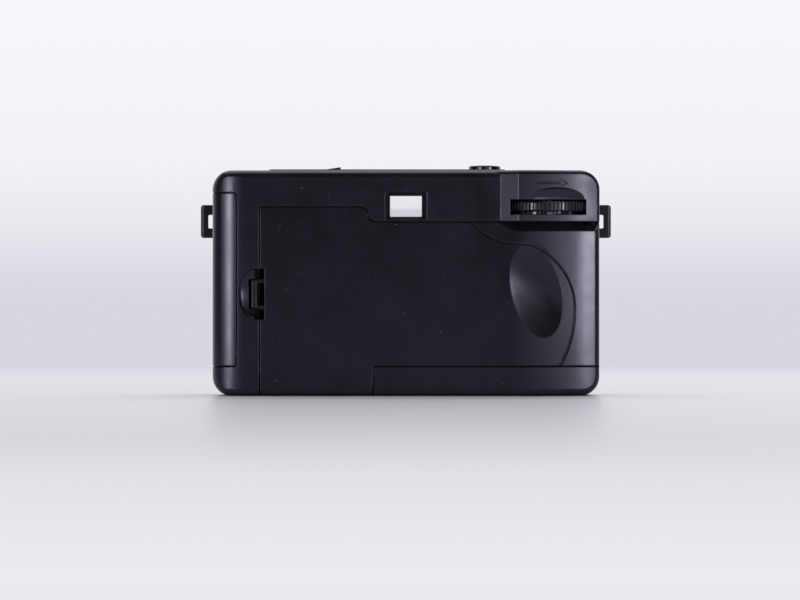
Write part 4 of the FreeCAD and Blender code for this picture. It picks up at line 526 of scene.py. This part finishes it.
def clear(name):
    look = clearLooks[name]
    material, tree, shader, where = newMaterial(name)
    flow = addNode(tree, "ShaderNodeTexNoise",
                   {"Vector": where, "Scale": perMetre(look["rippleMm"]), "Detail": 2.0})
    smooth, rough = look["roughness"]
    roughness = addNode(tree, "ShaderNodeMapRange",
                        {"Value": flow.outputs["Fac"], "To Min": smooth, "To Max": rough})
    bump = addNode(tree, "ShaderNodeBump",
                   {"Height": flow.outputs["Fac"], "Distance": look["rippleDepthMm"] * mm})
    shader.inputs["Base Color"].default_value = linear(look["colour"])
    shader.inputs["Transmission Weight"].default_value = 1.0
    shader.inputs["IOR"].default_value = look["ior"]
    shader.inputs["Thin Film Thickness"].default_value = look["filmNm"]
    link(tree, shader, Roughness=roughness.outputs["Result"], Normal=bump.outputs["Normal"])
    return material


give(clear("clearAcrylic"), "viewfinder_eyepiece", "viewfinder_front_lens", "counter_window")
give(clear("coatedGlass"), "lens_front", "lens_rear")
give(clear("borosilicateGlass"), "flash_tube")
give(clear("prismPolycarbonate"), "flash_diffuser")
give(clear("tintedAcrylic"), "ready_lamp")
print("stage: clear pieces")

# Flash capacitor: aluminium can in a black sleeve that leaves its crimped end bare
capacitorLook = {
    "sleeve": "0d0d12", "aluminium": "c9cacc", "bareMm": 1.4, "roughness": (0.18, 0.34),
    "creaseMm": 2.5, "creaseDepthMm": 0.01,
}


def capacitorCan():
    material, tree, shader, where = newMaterial("sleevedAluminium")
    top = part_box("flash_capacitor")[1].z
    height = addNode(tree, "ShaderNodeSeparateXYZ", {"Vector": where}).outputs["Z"]
    bare = addNode(tree, "ShaderNodeMath", {0: height, 1: top - capacitorLook["bareMm"] * mm},
                   operation="GREATER_THAN").outputs[0]
    creases = addNode(tree, "ShaderNodeTexNoise",
                      {"Vector": where, "Scale": perMetre(capacitorLook["creaseMm"]),
                       "Detail": 3.0})
    colour = addNode(tree, "ShaderNodeMix",
                     {0: bare, 6: linear(capacitorLook["sleeve"]),
                      7: linear(capacitorLook["aluminium"])}, data_type="RGBA")
    smooth, rough = capacitorLook["roughness"]
    roughness = addNode(tree, "ShaderNodeMapRange",
                        {"Value": creases.outputs["Fac"], "To Min": smooth, "To Max": rough})
    bump = addNode(tree, "ShaderNodeBump",
                   {"Height": creases.outputs["Fac"],
                    "Distance": capacitorLook["creaseDepthMm"] * mm})
    link(tree, shader, Base_Color=colour.outputs[2], Metallic=bare,
         Roughness=roughness.outputs["Result"], Normal=bump.outputs["Normal"])
    return material


give(capacitorCan(), "flash_capacitor")

# Flash transformer: ferrite cheeks on a bobbin wound with enamelled copper
transformerLook = {
    # painted shade: the copper is painted darker in the grooves between the turns than on their
    # crowns
    "ferrite": "2b2a2c", "copper": "b5652f", "copperDark": "7a3f1c", "copperStops": (0.1, 0.7),
    "windingMm": 8.0, "roughness": 0.42,
    # the wave texture turns 20 radians for each unit of scale, so the turns are drawn 2 pi
    # times as far apart as the wire is thick, and show
    "wireMm": 0.22, "waveRadians": 20, "wander": 0.4, "wireDepthMm": 0.05,
}


def woundCore():
    material, tree, shader, where = newMaterial("enamelledCopperAndFerrite")
    low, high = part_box("flash_transformer")
    spread = addNode(tree, "ShaderNodeSeparateXYZ", {"Vector": where})
    offset = addNode(tree, "ShaderNodeMath", {0: spread.outputs["Z"], 1: (low.z + high.z) / 2},
                     operation="SUBTRACT")
    away = addNode(tree, "ShaderNodeMath", {0: offset.outputs[0]}, operation="ABSOLUTE")
    core = addNode(tree, "ShaderNodeMath",
                   {0: away.outputs[0], 1: transformerLook["windingMm"] / 2 * mm},
                   operation="GREATER_THAN").outputs[0]
    scale = perMetre(transformerLook["wireMm"]) / transformerLook["waveRadians"]
    turns = addNode(tree, "ShaderNodeTexWave",
                    {"Vector": where, "Scale": scale, "Distortion": transformerLook["wander"]},
                    bands_direction="X")
    # painted shade in the grooves between the turns, dark there and light on the crowns
    between, crown = transformerLook["copperStops"]
    copper = addNode(tree, "ShaderNodeValToRGB", {"Fac": turns.outputs["Fac"]},
                     stops=[(between, linear(transformerLook["copperDark"])),
                            (crown, linear(transformerLook["copper"]))])
    colour = addNode(tree, "ShaderNodeMix",
                     {0: core, 6: linear(transformerLook["ferrite"]),
                      7: copper.outputs["Color"]}, data_type="RGBA")
    bump = addNode(tree, "ShaderNodeBump",
                   {"Height": turns.outputs["Fac"],
                    "Distance": transformerLook["wireDepthMm"] * mm})
    shader.inputs["Roughness"].default_value = transformerLook["roughness"]
    link(tree, shader, Base_Color=colour.outputs[2], Normal=bump.outputs["Normal"])
    return material


give(woundCore(), "flash_transformer")
print("stage: flash pieces")

# Softboxes: one upright on each side of the camera, one above and one behind the object.
# Azimuth from the camera's axis and elevation in degrees, distance and size in metres, then the
# radiance across the box as pairs of azimuth and level, and the share of it up the box, as pairs
# of elevation and share
uprightRise = ((-18, 0.1), (-4, 0.4), (-0.5, 1.0), (2.5, 1.0), (6, 0.35), (12, 0.12), (22, 0.06))
softboxes = {
    "softboxRight": {
        "azimuth": 25, "elevation": 2, "distance": 1.1, "width": 0.86, "height": 0.8,
        "radiance": ((5, 0.35), (12, 0.7), (20, 1.3), (28, 2.3), (36, 3.2), (39.5, 5.0),
                     (40.5, 19.0), (46, 19.0)),
        "rise": uprightRise,
    },
    "softboxLeft": {
        "azimuth": -38, "elevation": 2, "distance": 1.1, "width": 1.1, "height": 0.8,
        "radiance": ((-63, 0.3), (-57, 1.0), (-54, 1.9), (-42, 1.6), (-38, 3.0), (-37, 18.0),
                     (-32, 16.0), (-29, 2.0), (-24, 0.8), (-12, 0.25)),
        "rise": uprightRise,
    },
    "softboxAbove": {
        "azimuth": 180, "elevation": 78, "distance": 1.2, "width": 1.7, "height": 1.5,
        "radiance": ((145, 1.6), (215, 1.6)),
        "rise": ((70, 1.0), (86, 1.0)),
    },
    "softboxFarSide": {
        "azimuth": 150, "elevation": 35, "distance": 1.3, "width": 0.6, "height": 0.6,
        "radiance": ((140, 2.0), (160, 2.0)),
        "rise": ((30, 1.0), (40, 1.0)),
    },
}


def lampProfile(tree, where, middle, half, pairs):
    # a ramp over the lamp's face, from pairs of direction in degrees and level; the ramp holds
    # shares of the peak, which is returned with it
    peak = max(level for direction, level in pairs)
    stops = []
    for direction, level in pairs:
        place = 0.5 + math.tan(math.radians(direction - middle)) / half
        share = level / peak
        stops.append((min(max(place, 0.0), 1.0), (share, share, share, 1.0)))
    ramp = addNode(tree, "ShaderNodeValToRGB", {"Fac": where}, stops=stops)
    return ramp.outputs["Color"], peak


def makeSoftbox(name, setup):
    data = bpy.data.lights.new(name, "AREA")
    data.shape = "RECTANGLE"
    data.size = setup["width"]
    data.size_y = setup["height"]
    data.energy = math.pi * setup["width"] * setup["height"]  # the nodes then give the radiance
    data.use_nodes = True
    tree = data.node_tree
    tree.nodes.clear()
    face = addNode(tree, "ShaderNodeSeparateXYZ",
                   {"Vector": addNode(tree, "ShaderNodeNewGeometry").outputs["Parametric"]})
    across, brightest = lampProfile(tree, face.outputs["X"], setup["azimuth"],
                                    setup["width"] / setup["distance"], setup["radiance"])
    upward, share = lampProfile(tree, face.outputs["Y"], setup["elevation"],
                                setup["height"] / setup["distance"], setup["rise"])
    both = addNode(tree, "ShaderNodeMix", {0: 1.0, 6: across, 7: upward},
                   data_type="RGBA", blend_type="MULTIPLY")
    emission = addNode(tree, "ShaderNodeEmission",
                       {"Color": both.outputs[2], "Strength": brightest * share})
    addNode(tree, "ShaderNodeOutputLight", {"Surface": emission.outputs[0]})
    lamp = bpy.data.objects.new(name, data)
    around = math.radians(setup["azimuth"])
    up = math.radians(setup["elevation"])
    target = (cadLow + cadHigh) / 2
    direction = Vector((math.sin(around) * math.cos(up), -math.cos(around) * math.cos(up),
                        math.sin(up)))
    lamp.location = target + direction * setup["distance"]
    lamp.rotation_euler = direction.to_track_quat("Z", "Y").to_euler()
    lamp.visible_camera = False
    bpy.context.scene.collection.objects.link(lamp)


for name, setup in softboxes.items():
    makeSoftbox(name, setup)

# Paper behind the table, which gloss and glass see too
paperLook = {
    # the paper's colour by height above the horizon, as the slope of the line of sight
    "colours": ((0.0, "d9d6df"), (0.004, "dcd9e2"), (0.0155, "ebe9f0"), (0.027, "f2f1f7"),
                (0.056, "f7f6fb")),
    "farFrom": 0.9,  # how far towards the paper a direction points before it is fully bright
    "behindCamera": 0.05,
    "ambient": 0.25,
}


def makeWorld():
    world = bpy.data.worlds.new("studioPaper")
    bpy.context.scene.world = world
    world.use_nodes = True
    tree = world.node_tree
    tree.nodes.clear()
    direction = addNode(tree, "ShaderNodeTexCoord").outputs["Generated"]
    split = addNode(tree, "ShaderNodeSeparateXYZ", {"Vector": direction})
    highest = paperLook["colours"][-1][0]
    rise = addNode(tree, "ShaderNodeMapRange",
                   {"Value": split.outputs["Z"], "From Max": highest})
    paper = addNode(tree, "ShaderNodeValToRGB", {"Fac": rise.outputs["Result"]},
                    stops=[(slope / highest, linear(shade))
                           for slope, shade in paperLook["colours"]])
    # gloss sees the paper on the far side and the dim room on the camera's side
    towards = addNode(tree, "ShaderNodeMapRange",
                      {"Value": split.outputs["Y"], "From Min": 0.0,
                       "From Max": paperLook["farFrom"], "To Min": paperLook["behindCamera"],
                       "To Max": 1.0}, interpolation_type="SMOOTHSTEP")
    rays = addNode(tree, "ShaderNodeLightPath")
    seen = addNode(tree, "ShaderNodeMath",
                   {0: rays.outputs["Is Camera Ray"], 1: rays.outputs["Is Transmission Ray"]},
                   operation="MAXIMUM")
    gloss = addNode(tree, "ShaderNodeMath",
                    {0: rays.outputs["Is Glossy Ray"], 1: towards.outputs["Result"]},
                    operation="MULTIPLY")
    strength = addNode(tree, "ShaderNodeMath", {0: seen.outputs[0], 1: gloss.outputs[0]},
                       operation="MAXIMUM")
    backdrop = addNode(tree, "ShaderNodeBackground",
                       {"Color": paper.outputs["Color"], "Strength": strength.outputs[0]})
    ambient = addNode(tree, "ShaderNodeBackground",
                      {"Color": linear("ffffff"), "Strength": paperLook["ambient"]})
    mixed = addNode(tree, "ShaderNodeMixShader",
                    {0: rays.outputs["Is Diffuse Ray"], 1: backdrop.outputs[0],
                     2: ambient.outputs[0]})
    addNode(tree, "ShaderNodeOutputWorld", {"Surface": mixed.outputs[0]})


makeWorld()

# Table: pale satin laminate, which takes the object's shadow and fades into the paper
tableLook = {
    # the colour of the table's painted light by distance towards the camera, in metres
    "colours": ((0.3, "d8d5de"), (0.47, "dddae1"), (0.70, "e3e0e7"), (1.0, "ecebf1"),
                (1.28, "dad7e0")),
    "laminate": "dedbe4",
    "roughness": 0.34,
    "rings": (0.3, 0.7, 1.3),
    "sides": 96,
    "drop": 0.00005,  # just under the object's base, so that the two don't share a plane
    "fadeStart": 0.30,
    "fadeEnd": 0.75,
}


def tableMesh():
    sides = tableLook["sides"]
    rings = tableLook["rings"]
    level = -tableLook["drop"]
    points = [(0, 0, level)]
    for ring in rings:
        for k in range(sides):
            angle = 2 * math.pi * k / sides
            points.append((ring * math.cos(angle), ring * math.sin(angle), level))
    faces = []
    for k in range(sides):
        following = (k + 1) % sides
        faces.append((0, 1 + k, 1 + following))
        for r in range(len(rings) - 1):
            inner = 1 + r * sides
            outer = inner + sides
            faces.append((inner + k, outer + k, outer + following, inner + following))
    mesh = bpy.data.meshes.new("table")
    mesh.from_pydata(points, [], faces)
    return mesh


def paleLaminate():
    material, tree, shader, where = newMaterial("paleLaminate")
    shader.inputs["Base Color"].default_value = linear(tableLook["laminate"])
    shader.inputs["Roughness"].default_value = tableLook["roughness"]
    # away from the object, what the camera and gloss see turns into plain paper: painted light, a
    # glow graded by distance towards the camera
    away = addNode(tree, "ShaderNodeVectorMath", {0: where}, operation="LENGTH")
    fade = addNode(tree, "ShaderNodeMapRange",
                   {"Value": away.outputs["Value"], "From Min": tableLook["fadeStart"],
                    "From Max": tableLook["fadeEnd"]}, interpolation_type="SMOOTHSTEP")
    rays = addNode(tree, "ShaderNodeLightPath")
    seen = rays.outputs["Is Camera Ray"]
    for kind in ("Is Glossy Ray", "Is Transmission Ray"):
        seen = addNode(tree, "ShaderNodeMath", {0: seen, 1: rays.outputs[kind]},
                       operation="MAXIMUM").outputs[0]
    amount = addNode(tree, "ShaderNodeMath", {0: seen, 1: fade.outputs["Result"]},
                     operation="MULTIPLY")
    nearest = tableLook["colours"][0][0]
    furthest = tableLook["colours"][-1][0]
    split = addNode(tree, "ShaderNodeSeparateXYZ", {"Vector": where})
    forward = addNode(tree, "ShaderNodeMapRange",
                      {"Value": split.outputs["Y"], "From Min": -nearest,
                       "From Max": -furthest})
    paper = addNode(tree, "ShaderNodeValToRGB", {"Fac": forward.outputs["Result"]},
                    stops=[((place - nearest) / (furthest - nearest), linear(shade))
                           for place, shade in tableLook["colours"]])
    glow = addNode(tree, "ShaderNodeEmission", {"Color": paper.outputs["Color"]})
    faded = addNode(tree, "ShaderNodeMixShader",
                    {0: amount.outputs[0], 1: shader.outputs[0], 2: glow.outputs[0]})
    # seen from below the table isn't there, so that the object's base shows
    back = addNode(tree, "ShaderNodeNewGeometry").outputs["Backfacing"]
    below = addNode(tree, "ShaderNodeMath", {0: back, 1: rays.outputs["Is Camera Ray"]},
                    operation="MULTIPLY")
    absent = addNode(tree, "ShaderNodeBsdfTransparent")
    surface = addNode(tree, "ShaderNodeMixShader",
                      {0: below.outputs[0], 1: faded.outputs[0], 2: absent.outputs[0]})
    output = next(node for node in tree.nodes if node.type == "OUTPUT_MATERIAL")
    tree.links.new(surface.outputs[0], output.inputs["Surface"])
    return material


def makeTable():
    mesh = tableMesh()
    mesh.materials.append(paleLaminate())
    table = bpy.data.objects.new("table", mesh)
    bpy.context.scene.collection.objects.link(table)
    # the two upright boxes light the object alone, or their hot strips would glare on the table
    offTable = bpy.data.collections.new("offTable")
    offTable.objects.link(table)
    offTable.collection_objects[0].light_linking.link_state = "EXCLUDE"
    for name in ("softboxRight", "softboxLeft"):
        bpy.data.objects[name].light_linking.receiver_collection = offTable


makeTable()
bpy.context.scene.view_settings.view_transform = "Standard"
print("stage: studio")
